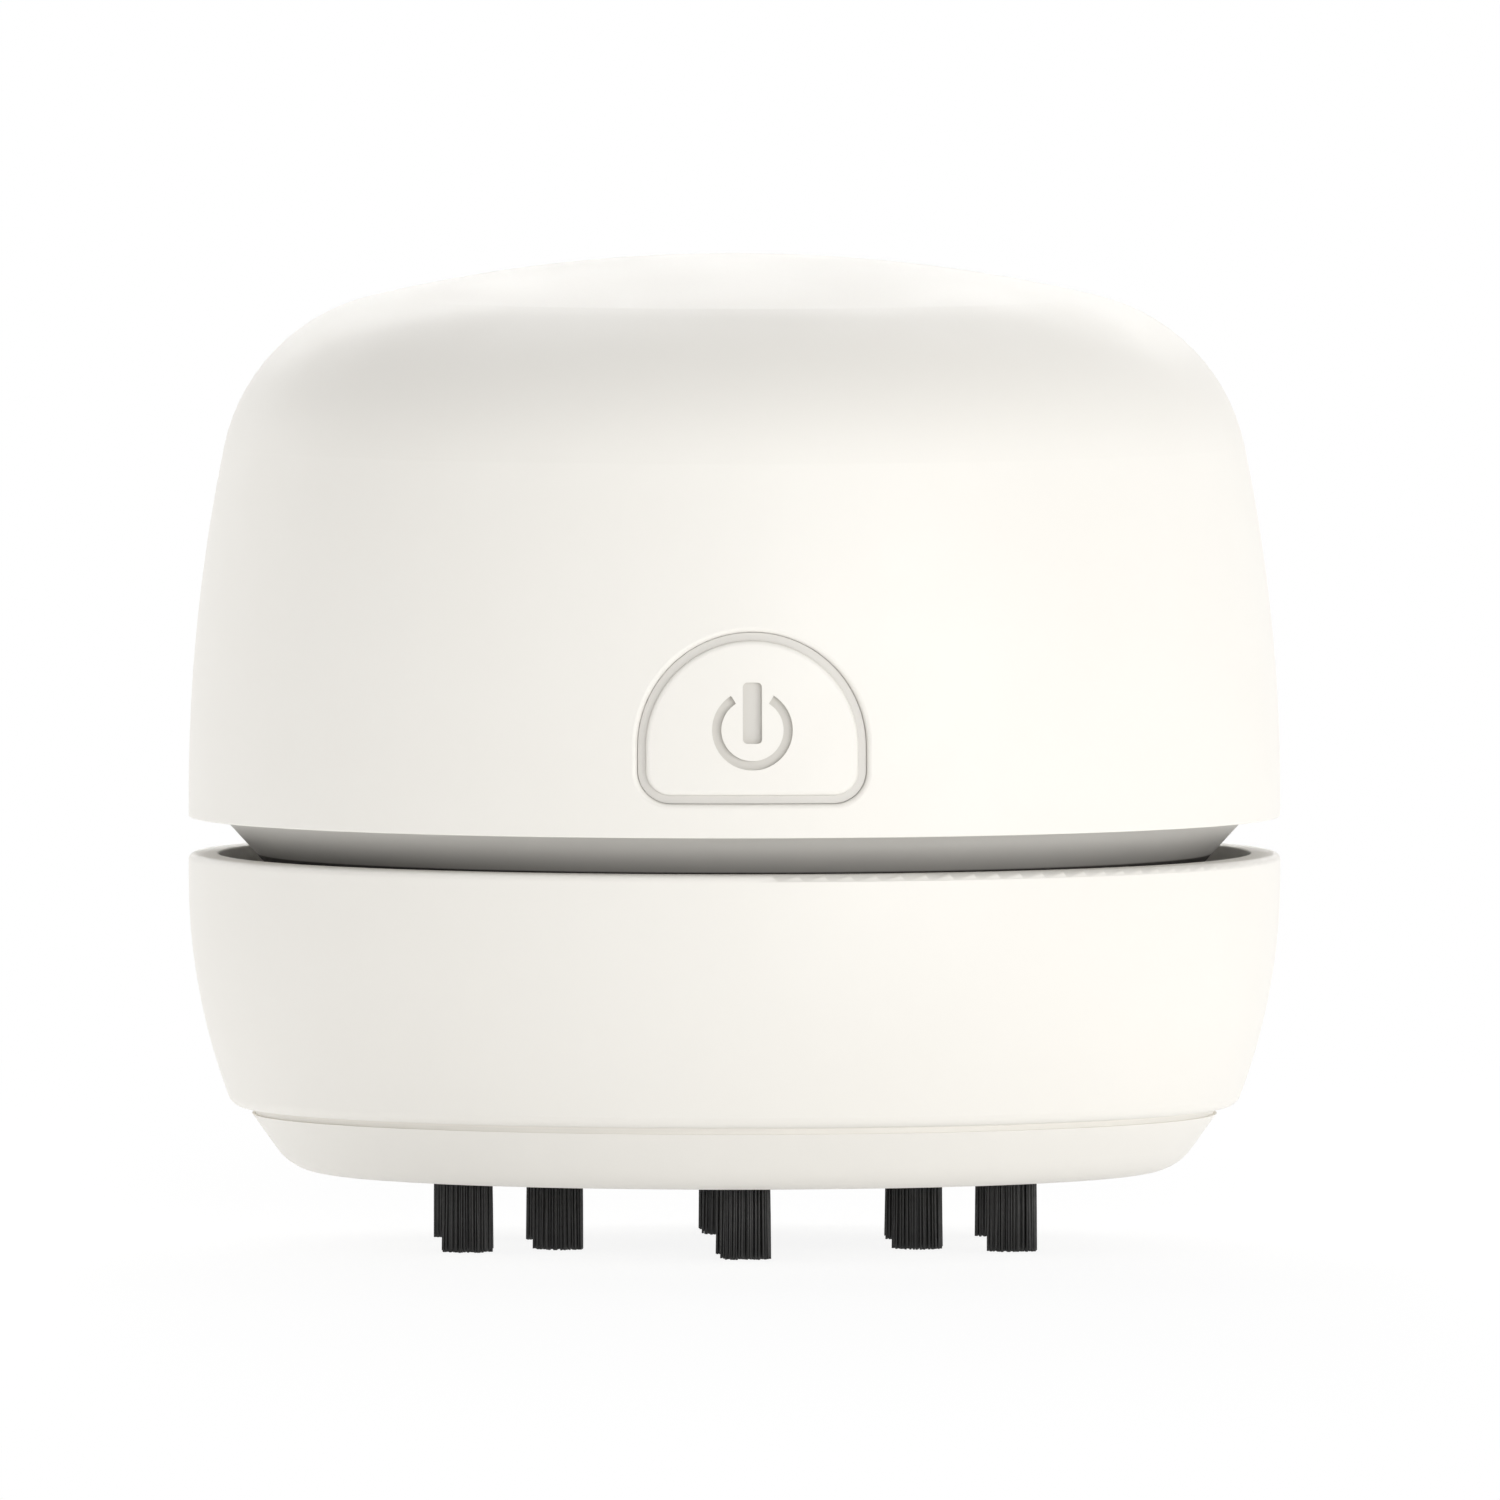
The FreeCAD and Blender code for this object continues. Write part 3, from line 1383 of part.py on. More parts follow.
def make_filter_unit():
    body = new_body("filter_frame")
    foot = size.frame_under
    lip_top = foot + size.frame_lip
    lip_inner = size.collar_inner - size.collar_lip
    revolve(body, Drawing(body, "XZ_Plane").outline([
        (lip_inner, foot),
        (size.collar_outer, foot),
        (size.collar_outer, size.collar_top),
        (size.collar_inner, size.collar_top),
        (size.collar_inner, lip_top),
        (lip_inner, lip_top),
    ]))
    spoke = Drawing(body, "XY_Plane", foot)
    spoke.rectangle(0, -size.spoke_width / 2, lip_inner + size.free_gap, size.spoke_width / 2)
    repeat_round(body, [pad(body, spoke, size.frame_lip)], FILTER_SPOKES)
    ring = Drawing(body, "XY_Plane", foot)
    ring.circle(0, 0, lip_inner / 2 - size.spoke_width / 2)
    ring.circle(0, 0, lip_inner / 2 + size.spoke_width / 2)
    pad(body, ring, size.frame_lip)
    lug = Drawing(body, "XY_Plane", foot)
    lug_root = size.collar_outer - size.free_gap
    lug.sector(lug_root, size.frame_lug_outer, size.lug_turn, size.lug_half_angle)
    repeat_round(body, [pad(body, lug, size.lug_thick)], BAYONET_LUGS)

    body = new_body("pleated_filter")
    step = size.pleat_pitch / 2
    lower = [
        (step * number, lip_top + (size.pleat_height - size.fabric_thick) * (number % 2))
        for number in range(FILTER_FOLDS + 1)
    ]
    rim = size.collar_inner - size.fit_gap * 2
    upper = [(x, z + size.fabric_thick) for x, z in reversed(lower)]
    edge = [(rim, lip_top), (rim, lip_top + size.fabric_thick)]
    revolve(body, Drawing(body, "XZ_Plane").outline(lower + edge + upper))


def make_dust_cup():
    body = new_body("dust_cup")
    wall = size.cup_wall
    outer = size.body_radius
    locator_foot = size.cup_under - size.locating_height
    locator_inner = size.locating_ring - size.chimney_wall
    recess = size.riser_flange + size.fit_gap
    recess_top = size.cup_under + size.riser_flange_thick + size.slip_gap
    hole = size.chimney_radius + size.chimney_wall + size.slip_gap
    revolve(body, Drawing(body, "XZ_Plane").outline([
        (recess, size.cup_under),
        (locator_inner, size.cup_under),
        (locator_inner, locator_foot),
        (size.locating_ring, locator_foot),
        (size.locating_ring, size.cup_under),
        (size.neck_radius, size.cup_under),
        (size.neck_radius, size.cup_foot),
        (cup_side(size.cup_foot, 0), size.cup_foot),
        (outer, size.cup_bend, size.cup_radius),
        (outer, size.cup_rim),
        (outer - wall, size.cup_rim),
        (outer - wall, size.cup_bend),
        (cup_side(size.ledge_top, wall), size.ledge_top, wall - size.cup_radius),
        (size.ledge_radius, size.ledge_top),
        (size.ledge_radius, size.ledge_slope_top),
        (cup_side(size.ledge_foot, wall), size.ledge_foot),
        (cup_side(cup_floor_top, wall), cup_floor_top, wall - size.cup_radius),
        (hole, cup_floor_top),
        (hole, recess_top),
        (recess, recess_top),
    ]))
    lug_foot = size.frame_under + size.lug_thick + size.free_gap
    middle_wall = outer - wall / 2 - size.free_gap
    lug = Drawing(body, "XY_Plane", lug_foot)
    lug.sector(size.cup_lug_inner, middle_wall, size.lug_turn, size.lug_half_angle)
    stop = Drawing(body, "XY_Plane", size.ledge_top)
    stop_turn = size.lug_turn + size.lug_half_angle + size.stop_half_angle + size.stop_gap_angle
    stop.sector(size.cup_lug_inner, middle_wall - wall / 2, stop_turn, size.stop_half_angle)
    lugs = pad(body, lug, size.lug_thick)
    stops = pad(body, stop, lug_foot + size.lug_thick - size.ledge_top)
    repeat_round(body, [lugs, stops], BAYONET_LUGS)

    bosses = Drawing(body, "XY_Plane", size.tray_boss_top)
    bosses.circles(tray_screw_places, size.middle_shank + size.boss_wall)
    pad(body, bosses, size.cup_under - size.tray_boss_top)
    pilots = Drawing(body, "XY_Plane", size.tray_boss_top)
    pilots.circles(tray_screw_places, size.middle_shank + size.pilot_gap)
    pocket(body, pilots, size.tray_screw_length - size.tray_boss_top + size.tray_screw_seat
           + size.fit_gap, along_normal=True)

    fillet(body, size.cup_round, ring_edge(outer, size.cup_rim))
    fillet(body, size.cup_foot_round, ring_edge(cup_side(size.cup_foot, 0), size.cup_foot))
    fillet(body, size.rim_round, ring_edge(outer - wall, size.cup_rim))

    body = new_body("cup_gasket")
    ring = Drawing(body, "XY_Plane", size.ledge_top)
    ring.circle(0, 0, size.ledge_radius + size.fit_gap)
    ring.circle(0, 0, size.cup_lug_inner - size.free_gap)
    pad(body, ring, size.gasket_thick)


def make_inlet_riser():
    """The tapered pipe that carries dust up into the cup, held by a flange under the cup's floor."""
    body = new_body("inlet_riser")
    inner = size.chimney_radius
    outer = inner + size.chimney_wall
    flange_top = size.cup_under + size.riser_flange_thick
    revolve(body, Drawing(body, "XZ_Plane").outline([
        (inner, size.cup_under),
        (size.riser_flange, size.cup_under),
        (size.riser_flange, flange_top),
        (outer, flange_top),
        (outer, cup_floor_top),
        (size.chimney_top_radius + size.chimney_wall, size.chimney_top),
        (size.chimney_top_radius, size.chimney_top),
    ]))


def make_brush_tray():
    body = new_body("brush_tray")
    mouth = size.chimney_radius
    inner = size.locating_ring + size.fit_gap * 2
    inner_foot = size.tray_step - size.tray_wall
    collar_top = size.cup_under - size.fit_gap * 2
    revolve(body, Drawing(body, "XZ_Plane").outline([
        (mouth, size.tray_under),
        (size.tray_flat, size.tray_under),
        (size.tray_step, size.tray_step_height, size.tray_edge_radius),
        (size.tray_shoulder, size.tray_shoulder_height),
        (size.neck_radius, size.tray_shoulder_height),
        (size.neck_radius, size.cup_under),
        (inner, size.cup_under),
        (inner, size.cup_under - size.locating_height - size.fit_gap),
        (inner_foot, tray_floor_top),
        (mouth + size.tray_wall, tray_floor_top),
        (mouth + size.tray_wall, collar_top),
        (mouth, collar_top),
    ]))
    socket_bosses = Drawing(body, "XY_Plane", tray_floor_top)
    socket_bosses.circles(tuft_places, size.tuft_radius + size.boss_wall)
    pad(body, socket_bosses, collar_top - tray_floor_top)
    screw_bosses = Drawing(body, "XY_Plane", tray_floor_top)
    screw_bosses.circles(tray_screw_places, size.middle_head + size.boss_wall)
    pad(body, screw_bosses, size.tray_boss_top - tray_floor_top)

    sockets = Drawing(body, "XY_Plane", size.tray_under)
    sockets.circles(tuft_places, size.tuft_radius + size.slip_gap)
    pocket(body, sockets, size.tuft_length - size.tray_under, along_normal=True)
    recesses = Drawing(body, "XY_Plane", size.tray_under)
    recesses.circles(tray_screw_places, size.middle_head + size.hole_gap)
    pocket(body, recesses, size.tray_screw_seat - size.tray_under, along_normal=True)
    holes = Drawing(body, "XY_Plane", size.tray_screw_seat)
    holes.circles(tray_screw_places, size.middle_shank + size.hole_gap)
    pocket(body, holes, size.tray_boss_top - size.tray_screw_seat, along_normal=True)
    fillet(body, size.mouth_round, ring_edge(mouth, size.tray_under))


def make_bristle_tufts():
    for number, (x, y) in enumerate(tuft_places, 1):
        body = new_body(f"bristle_tuft_{number:02d}", x=x, y=y)
        tuft = Drawing(body, "XY_Plane").circle(0, 0, size.tuft_radius)
        pad(body, tuft, size.tuft_length)


def check_and_export():
    document.recompute()
    for item in document.Objects:
        if "Invalid" in item.State or "Error" in item.State:
            raise ValueError(f"{item.Label} is {item.State}")
    for piece in pieces:
        if piece.Shape.isNull() or not piece.Shape.isValid():
            raise ValueError(f"{piece.Label} has no valid shape")
    os.makedirs("parts", exist_ok=True)
    for piece in pieces:
        piece.Shape.exportStep(f"parts/{piece.Label}.step")


make_top_shell()
make_power_button()
make_switch()
make_chassis()
make_fan_cage()
make_cage_seal()
make_impeller()
make_motor_housing()
make_motor_rotor()
make_motor_mounting()
make_all_screws()
make_circuit_board()
make_charging_parts()
make_battery()
make_wiring()
make_filter_unit()
make_dust_cup()
make_inlet_riser()
make_brush_tray()
make_bristle_tufts()
check_and_export()
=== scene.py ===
import json
import math
import random

import bmesh
import bpy
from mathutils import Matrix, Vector


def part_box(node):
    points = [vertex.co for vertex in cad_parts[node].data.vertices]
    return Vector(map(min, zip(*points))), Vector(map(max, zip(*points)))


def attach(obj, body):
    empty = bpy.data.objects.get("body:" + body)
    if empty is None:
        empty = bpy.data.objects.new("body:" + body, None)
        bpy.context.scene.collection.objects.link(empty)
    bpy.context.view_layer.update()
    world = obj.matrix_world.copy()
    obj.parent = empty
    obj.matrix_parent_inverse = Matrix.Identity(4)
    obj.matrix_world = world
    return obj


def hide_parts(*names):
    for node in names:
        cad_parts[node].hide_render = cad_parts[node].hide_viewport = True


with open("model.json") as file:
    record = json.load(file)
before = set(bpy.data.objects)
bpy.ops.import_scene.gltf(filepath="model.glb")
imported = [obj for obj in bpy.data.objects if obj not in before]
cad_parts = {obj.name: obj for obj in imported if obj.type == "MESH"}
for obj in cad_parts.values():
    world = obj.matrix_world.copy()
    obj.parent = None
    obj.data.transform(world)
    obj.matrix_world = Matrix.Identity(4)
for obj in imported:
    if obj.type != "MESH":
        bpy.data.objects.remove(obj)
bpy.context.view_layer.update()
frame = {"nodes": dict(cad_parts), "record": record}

# Desktop mini vacuum cleaner, in metres. The body's axis is Z, and -Y is the front.

MM = 0.001

# ---------------------------------------------------------------- camera

CAMERA_TURN = math.radians(-1.9)        # the camera stands a little to the left of the front
CAMERA_RISE = math.radians(2.32)
CAMERA_DISTANCE = 4.8
FRAME_WIDTH = 109.9 * MM                # what the picture's width covers at the body's axis
FRAME_RIGHT = 1.14 * MM                 # the picture's middle lies this far right of the axis
FRAME_HEIGHT = 36.23 * MM               # and this high
SENSOR = 36.0
CLIP_START = 0.1
CLIP_END = 30


def make_camera():
    lens = bpy.data.cameras.new("camera")
    camera = bpy.data.objects.new("camera", lens)
    bpy.context.scene.collection.objects.link(camera)
    back = Vector((
        math.sin(CAMERA_TURN) * math.cos(CAMERA_RISE),
        -math.cos(CAMERA_TURN) * math.cos(CAMERA_RISE),
        math.sin(CAMERA_RISE),
    ))
    right = Vector((math.cos(CAMERA_TURN), math.sin(CAMERA_TURN), 0))
    target = right * FRAME_RIGHT + Vector((0, 0, FRAME_HEIGHT))
    camera.location = target + back * CAMERA_DISTANCE
    camera.rotation_mode = "QUATERNION"
    camera.rotation_quaternion = (-back).to_track_quat("-Z", "Y")
    lens.sensor_width = SENSOR
    lens.lens = SENSOR * CAMERA_DISTANCE / FRAME_WIDTH
    lens.clip_start = CLIP_START
    lens.clip_end = CLIP_END
    bpy.context.scene.camera = camera


# ---------------------------------------------------------------- materials


class Surface:
    """A material, with short calls that add procedural detail to its shader."""

    def __init__(self, name, metallic=0.0):
        self.material = bpy.data.materials.new(name)
        self.material.use_nodes = True
        self.tree = self.material.node_tree
        self.shader = self.tree.nodes["Principled BSDF"]
        self.shader.inputs["Metallic"].default_value = metallic
        self.place = self.node("TexCoord").outputs["Object"]

    def node(self, kind, **values):
        made = self.tree.nodes.new("ShaderNode" + kind)
        for name, value in values.items():
            setattr(made, name, value)
        return made

    def link(self, source, target):
        self.tree.links.new(source, target)

    def stretched(self, x, y, z):
        """The surface's own place, scaled differently along its three axes."""
        mapping = self.node("Mapping")
        mapping.inputs["Scale"].default_value = (x, y, z)
        self.link(self.place, mapping.inputs["Vector"])
        return mapping.outputs["Vector"]

    def noise(self, scale, detail=2.0, place=None):
        """Soft noise; scale is in grains per metre."""
        texture = self.node("TexNoise")
        texture.inputs["Scale"].default_value = scale
        texture.inputs["Detail"].default_value = detail
        self.link(place or self.place, texture.inputs["Vector"])
        return texture.outputs["Fac"]

    def cells(self, scale, place=None):
        """Distance to the middle of the nearest cell."""
        texture = self.node("TexVoronoi")
        texture.inputs["Scale"].default_value = scale
        self.link(place or self.place, texture.inputs["Vector"])
        return texture.outputs["Distance"]

    def bands(self, scale, direction, distortion=0.0):
        """Straight lines across one axis, about 3.2 times scale of them to the metre."""
        texture = self.node("TexWave", bands_direction=direction)
        texture.inputs["Scale"].default_value = scale
        texture.inputs["Distortion"].default_value = distortion
        self.link(self.place, texture.inputs["Vector"])
        return texture.outputs["Fac"]

    def spread(self, factor, low, high, start=0.3, end=0.7):
        """A factor's middle part spread from low to high."""
        mapped = self.node("MapRange")
        for name, value in (
            ("From Min", start), ("From Max", end), ("To Min", low), ("To Max", high),
        ):
            mapped.inputs[name].default_value = value
        self.link(factor, mapped.inputs["Value"])
        return mapped.outputs["Result"]

    def mixed(self, factor, first, second):
        mix = self.node("Mix", data_type="RGBA")
        for socket, colour in ((mix.inputs[6], first), (mix.inputs[7], second)):
            if isinstance(colour, tuple):
                socket.default_value = (*colour, 1.0)
            else:
                self.link(colour, socket)
        self.link(factor, mix.inputs[0])
        return mix.outputs[2]

    def math(self, operation, first, second=0.0):
        """One sum of two numbers or sources."""
        step = self.node("Math", operation=operation)
        for socket, value in zip(step.inputs, (first, second)):
            if isinstance(value, (int, float)):
                socket.default_value = value
            else:
                self.link(value, socket)
        return step.outputs[0]

    def step_at(self, source, edge, width=0.1 * MM):
        """From 0 below an edge to 1 above it, over a short width."""
        return self.spread(source, 0, 1, edge - width / 2, edge + width / 2)

    def height_and_reach(self):
        """How high a point lies, and how far from the upright axis, in metres."""
        split = self.node("SeparateXYZ")
        self.link(self.place, split.inputs[0])
        x, y, z = split.outputs
        squares = self.math("ADD", self.math("POWER", x, 2.0), self.math("POWER", y, 2.0))
        return z, self.math("SQRT", squares)

    def depth_in_dome(self, height, reach):
        """How far a point lies inside the dome's side arc, in metres."""
        rise = self.math("POWER", self.math("SUBTRACT", height, DOME_START), 2.0)
        arc = self.math("SQRT", self.math("SUBTRACT", DOME_SIDE ** 2, rise))
        return self.math("SUBTRACT", self.math("ADD", arc, BODY_RADIUS - DOME_SIDE), reach)

    def colour(self, source):
        self.link(source, self.shader.inputs["Base Color"])
        return self

    def mottled(self, factor, first, second, start=0.3, end=0.7):
        """Colour that runs from first to second over a factor's middle part."""
        return self.colour(self.mixed(self.spread(factor, 0, 1, start, end), first, second))

    def roughness(self, source):
        self.link(source, self.shader.inputs["Roughness"])
        return self

    def relief(self, *layers):
        """Bump of several layers, each a height and how deep it is in metres."""
        normal = None
        for height, depth in layers:
            bump = self.node("Bump")
            bump.inputs["Strength"].default_value = 1.0
            bump.inputs["Distance"].default_value = depth
            self.link(height, bump.inputs["Height"])
            if normal:
                self.link(normal, bump.inputs["Normal"])
            normal = bump.outputs["Normal"]
        self.link(normal, self.shader.inputs["Normal"])
        return self

    def constant(self, **values):
        for name, value in values.items():
            self.shader.inputs[name.replace("_", " ")].default_value = value
        return self


BODY_RADIUS = 40 * MM
DOME_START = 33 * MM                    # height where the dome's side arc begins
DOME_SIDE = 126 * MM                    # radius of that arc
BUTTON_TOP = 53 * MM                    # the grooves lie lower than this
CUP_INSIDE = 37.9 * MM                  # a point of the cup's wall nearer the axis is on its inside
CUP_DUST_AND_SHADE_FROM = 16 * MM                     # but only above this height: the outside curves in below
CUP_RIM = 28.72 * MM
FOOT_SHADE_RISE = 2.4 * MM                  # the skirt's painted shade darkens it this far above the rim's height
GROOVE_START = 0.08 * MM                # depths in the dome where the grooves' painted shade begins
GROOVE_FULL = 0.36 * MM                 # and is full


FINE_GRAIN = 0.002 * MM                 # depth of the moulds' spark-eroded grain
COARSE_GRAIN = 0.003 * MM


def moulded_plastic(name, pale, dark, smooth, rough, grain=FINE_GRAIN):
    """Satin moulded plastic: faint flow marks in the colour, fine spark-eroded grain."""
    surface = Surface(name)
    cloudy = surface.noise(45, 3.0)
    surface.tone = surface.mixed(surface.spread(cloudy, 0, 1), pale, dark)
    surface.colour(surface.tone)
    fine = surface.noise(5200, 2.0)
    patchy = surface.noise(160, 4.0)
    surface.roughness(surface.spread(patchy, smooth, rough))
    surface.relief((fine, grain), (patchy, grain * 2))
    return surface


WHITE = (0.905, 0.882, 0.832)
WHITE_MARK = (0.893, 0.868, 0.815)
# painted shade, nearly black, on the chassis below the cup's rim
GAP_SHADE = (0.07, 0.065, 0.06)


def white_plastic():
    return moulded_plastic("white_plastic", WHITE, WHITE_MARK, 0.44, 0.52)


def tray_shaded_plastic():
    """White plastic a shade deeper than the cup's: painted shade for the tray low under the cup."""
    return moulded_plastic("tray_shaded_plastic", (0.868, 0.846, 0.798), (0.85, 0.828, 0.78), 0.46, 0.54)


def dome_plastic(name, smooth, rough, groove_shade):
    """White plastic, with painted shade in the grooves."""
    surface = moulded_plastic(name, WHITE, WHITE_MARK, smooth, rough)
    height, reach = surface.height_and_reach()
    # painted shade: darker the further a point lies into the dome, below the button's top
    sunk = surface.spread(surface.depth_in_dome(height, reach), 0, 1, GROOVE_START, GROOVE_FULL)
    above = surface.step_at(height, BUTTON_TOP)
    groove = surface.math("MULTIPLY", sunk, surface.math("SUBTRACT", 1.0, above))
    return surface.colour(surface.mixed(groove, surface.tone, groove_shade))


def shell_plastic():
    # the last colour is the painted shade in the grooves
    return dome_plastic("shell_plastic", 0.44, 0.52, (0.72, 0.70, 0.66))


def button_plastic():
    # the last colour is the painted shade in the grooves
    return dome_plastic("button_plastic", 0.42, 0.50, (0.70, 0.68, 0.64))


def cup_plastic():
    """White plastic with fine dust and painted shade on its inner wall."""
    surface = moulded_plastic("cup_plastic", WHITE, WHITE_MARK, 0.44, 0.52)
    height, reach = surface.height_and_reach()
    outward = surface.step_at(reach, CUP_INSIDE)
    within = surface.math("MULTIPLY", surface.step_at(height, CUP_DUST_AND_SHADE_FROM),
                          surface.math("SUBTRACT", 1.0, outward))
    # mottled dust, and painted shade that darkens the cup's inside
    dusty = surface.spread(surface.noise(220, 5.0), 0, 1)
    dust_and_shade = surface.mixed(dusty, (0.86, 0.84, 0.80), (0.74, 0.72, 0.68))
    return surface.colour(surface.mixed(within, surface.tone, dust_and_shade))


def skirt_plastic():
    """The chassis: pale grey, with painted shade that deepens towards the skirt's foot and is nearly
    black below the cup's rim.
    """
    surface = moulded_plastic("skirt_plastic", (0.70, 0.685, 0.65), (0.68, 0.665, 0.63), 0.42, 0.52)
    height, _ = surface.height_and_reach()
    # painted shade: darker towards the skirt's foot, and nearly black below the cup's rim
    foot_shade = surface.spread(height, 1, 0, CUP_RIM, CUP_RIM + FOOT_SHADE_RISE)
    paint = surface.mixed(foot_shade, surface.tone, (0.46, 0.445, 0.42))
    return surface.colour(surface.mixed(surface.step_at(height, CUP_RIM), GAP_SHADE, paint))


def grey_plastic():
    pale, dark = (0.52, 0.52, 0.505), (0.49, 0.49, 0.475)
    return moulded_plastic("grey_plastic", pale, dark, 0.42, 0.52, COARSE_GRAIN)


def black_plastic():
    pale, dark = (0.028, 0.028, 0.03), (0.02, 0.02, 0.022)
    return moulded_plastic("black_plastic", pale, dark, 0.38, 0.5, COARSE_GRAIN)


def seal_rubber():
    surface = Surface("seal_rubber")
    dusty = surface.noise(900, 4.0)
    surface.mottled(dusty, (0.022, 0.022, 0.023), (0.045, 0.044, 0.043))
    surface.roughness(surface.spread(surface.noise(2500), 0.62, 0.82))
    surface.relief((surface.noise(6000, 3.0), 0.006 * MM), (surface.noise(300), 0.02 * MM))
    return surface


def plated_steel():
    surface = Surface("plated_steel", metallic=1.0)
    drawn = surface.noise(1.0, 3.0, surface.stretched(300, 300, 6000))
    stained = surface.noise(120, 4.0)
    surface.mottled(stained, (0.66, 0.65, 0.63), (0.56, 0.555, 0.545))
    surface.roughness(surface.spread(drawn, 0.22, 0.38))
    surface.relief((drawn, 0.003 * MM))
    return surface


def screw_steel():
    surface = Surface("screw_steel", metallic=1.0)
    plated = surface.noise(1500, 4.0)
    surface.mottled(plated, (0.60, 0.61, 0.63), (0.48, 0.49, 0.50))
    surface.roughness(surface.spread(surface.noise(4000), 0.24, 0.42))
    threads = surface.bands(330, "Z")
    surface.relief((threads, 0.05 * MM), (plated, 0.004 * MM))
    return surface


def core_steel():
    surface = Surface("core_steel", metallic=1.0)
    sheets = surface.bands(320, "Z")
    oxide = surface.noise(700, 4.0)
    surface.mottled(oxide, (0.34, 0.34, 0.35), (0.24, 0.24, 0.25))
    surface.roughness(surface.spread(oxide, 0.35, 0.55))
    surface.relief((sheets, 0.04 * MM))
    return surface


def magnet():
    surface = Surface("magnet")
    grainy = surface.noise(5000, 4.0)
    surface.mottled(grainy, (0.05, 0.05, 0.055), (0.09, 0.09, 0.09))
    surface.roughness(surface.spread(surface.noise(900), 0.5, 0.75))
    surface.relief((grainy, 0.01 * MM))
    return surface


def bronze():
    surface = Surface("bronze", metallic=1.0)
    pores = surface.cells(5500)
    surface.mottled(pores, (0.22, 0.13, 0.06), (0.60, 0.40, 0.20), 0.1, 0.5)
    surface.roughness(surface.spread(surface.noise(1500), 0.35, 0.5))
    surface.relief((pores, 0.01 * MM))
    return surface


def copper():
    surface = Surface("copper", metallic=1.0)
    tarnish = surface.noise(600, 4.0)
    surface.mottled(tarnish, (0.78, 0.40, 0.25), (0.55, 0.27, 0.17))
    surface.roughness(surface.spread(tarnish, 0.22, 0.42))
    surface.relief((surface.noise(1.0, 2.0, surface.stretched(800, 800, 5000)), 0.003 * MM))
    return surface


def enamelled_wire():
    """Wound copper wire, about five turns to the millimetre, under clear enamel."""
    surface = Surface("enamelled_wire", metallic=0.9)
    turns = surface.bands(1600, "X", 0.4)
    surface.colour(surface.mixed(turns, (0.16, 0.05, 0.02), (0.66, 0.25, 0.10)))
    surface.roughness(surface.spread(surface.noise(1200), 0.22, 0.36))
    surface.relief((turns, 0.08 * MM))
    return surface.constant(Coat_Weight=0.6)


def nickel():
    surface = Surface("nickel", metallic=1.0)
    rolled = surface.noise(1.0, 3.0, surface.stretched(3000, 3000, 200))
    surface.mottled(rolled, (0.68, 0.66, 0.60), (0.58, 0.56, 0.51))
    surface.roughness(surface.spread(rolled, 0.25, 0.4))
    surface.relief((rolled, 0.003 * MM))
    return surface


def cell_sleeve():
    surface = Surface("cell_sleeve")
    shrunk = surface.noise(1.0, 3.0, surface.stretched(60, 260, 260))
    surface.mottled(shrunk, (0.045, 0.19, 0.46), (0.035, 0.15, 0.38))
    surface.roughness(surface.spread(surface.noise(500), 0.22, 0.34))
    surface.relief((shrunk, 0.05 * MM))
    return surface.constant(Coat_Weight=0.3)


def board():
    """Green solder mask over copper tracks on woven glass cloth."""
    surface = Surface("board")
    tracks = surface.cells(330, surface.stretched(1.0, 1.0, 0.01))
    edges = surface.spread(tracks, 0, 1, 0.46, 0.5)
    surface.colour(surface.mixed(edges, (0.006, 0.115, 0.045), (0.02, 0.20, 0.075)))
    surface.roughness(surface.spread(surface.noise(900), 0.2, 0.32))
    weave = surface.bands(700, "X")
    surface.relief((edges, 0.03 * MM), (weave, 0.006 * MM))
    return surface.constant(Coat_Weight=0.4)


def component():
    surface = Surface("component")
    filler = surface.noise(7000, 3.0)
    surface.mottled(filler, (0.018, 0.018, 0.019), (0.04, 0.04, 0.041))
    surface.roughness(surface.spread(filler, 0.42, 0.6))
    surface.relief((filler, 0.008 * MM))
    return surface


def ceramic_disc():
    surface = Surface("ceramic_disc")
    dipped = surface.noise(450, 3.0)
    surface.mottled(dipped, (0.62, 0.28, 0.05), (0.50, 0.20, 0.03))
    surface.roughness(surface.spread(dipped, 0.2, 0.35))
    surface.relief((dipped, 0.06 * MM))
    return surface.constant(Coat_Weight=0.5)


def clear_plastic():
    surface = Surface("clear_plastic")
    surface.mottled(surface.noise(900), (0.93, 0.95, 0.95), (0.86, 0.89, 0.89))
    surface.roughness(surface.spread(surface.noise(2500), 0.06, 0.16))
    return surface.constant(Transmission_Weight=0.85, IOR=1.49)


def filter_fabric():
    """Non-woven filter cloth: bonded fibres that cross in every direction."""
    surface = Surface("filter_fabric")
    along = surface.noise(1.0, 4.0, surface.stretched(900, 5200, 5200))
    across = surface.noise(1.0, 4.0, surface.stretched(5200, 900, 5200))
    fibres = surface.mixed(surface.noise(1400), along, across)
    surface.mottled(fibres, (0.60, 0.60, 0.57), (0.80, 0.80, 0.77), 0.35, 0.65)
    surface.roughness(surface.spread(fibres, 0.82, 0.95))
    surface.relief((fibres, 0.05 * MM))
    return surface.constant(Sheen_Weight=0.25)


def lead_cover(name, pale, dark):
    surface = Surface(name)
    surface.mottled(surface.noise(500, 3.0), pale, dark)
    surface.roughness(surface.spread(surface.noise(1800), 0.28, 0.4))
    surface.relief((surface.noise(1200, 2.0), 0.015 * MM))
    return surface


def nylon_bristle():
    """Black nylon filaments: each has its own shade, and they shine along their length."""
    surface = Surface("nylon_bristle")
    filaments = surface.noise(1.0, 2.0, surface.stretched(2600, 2600, 60))
    surface.mottled(filaments, (0.010, 0.010, 0.010), (0.027, 0.027, 0.026))
    surface.roughness(surface.spread(surface.noise(2500), 0.48, 0.64))
    surface.relief((surface.noise(1.0, 3.0, surface.stretched(9000, 9000, 700)), 0.004 * MM))
    return surface


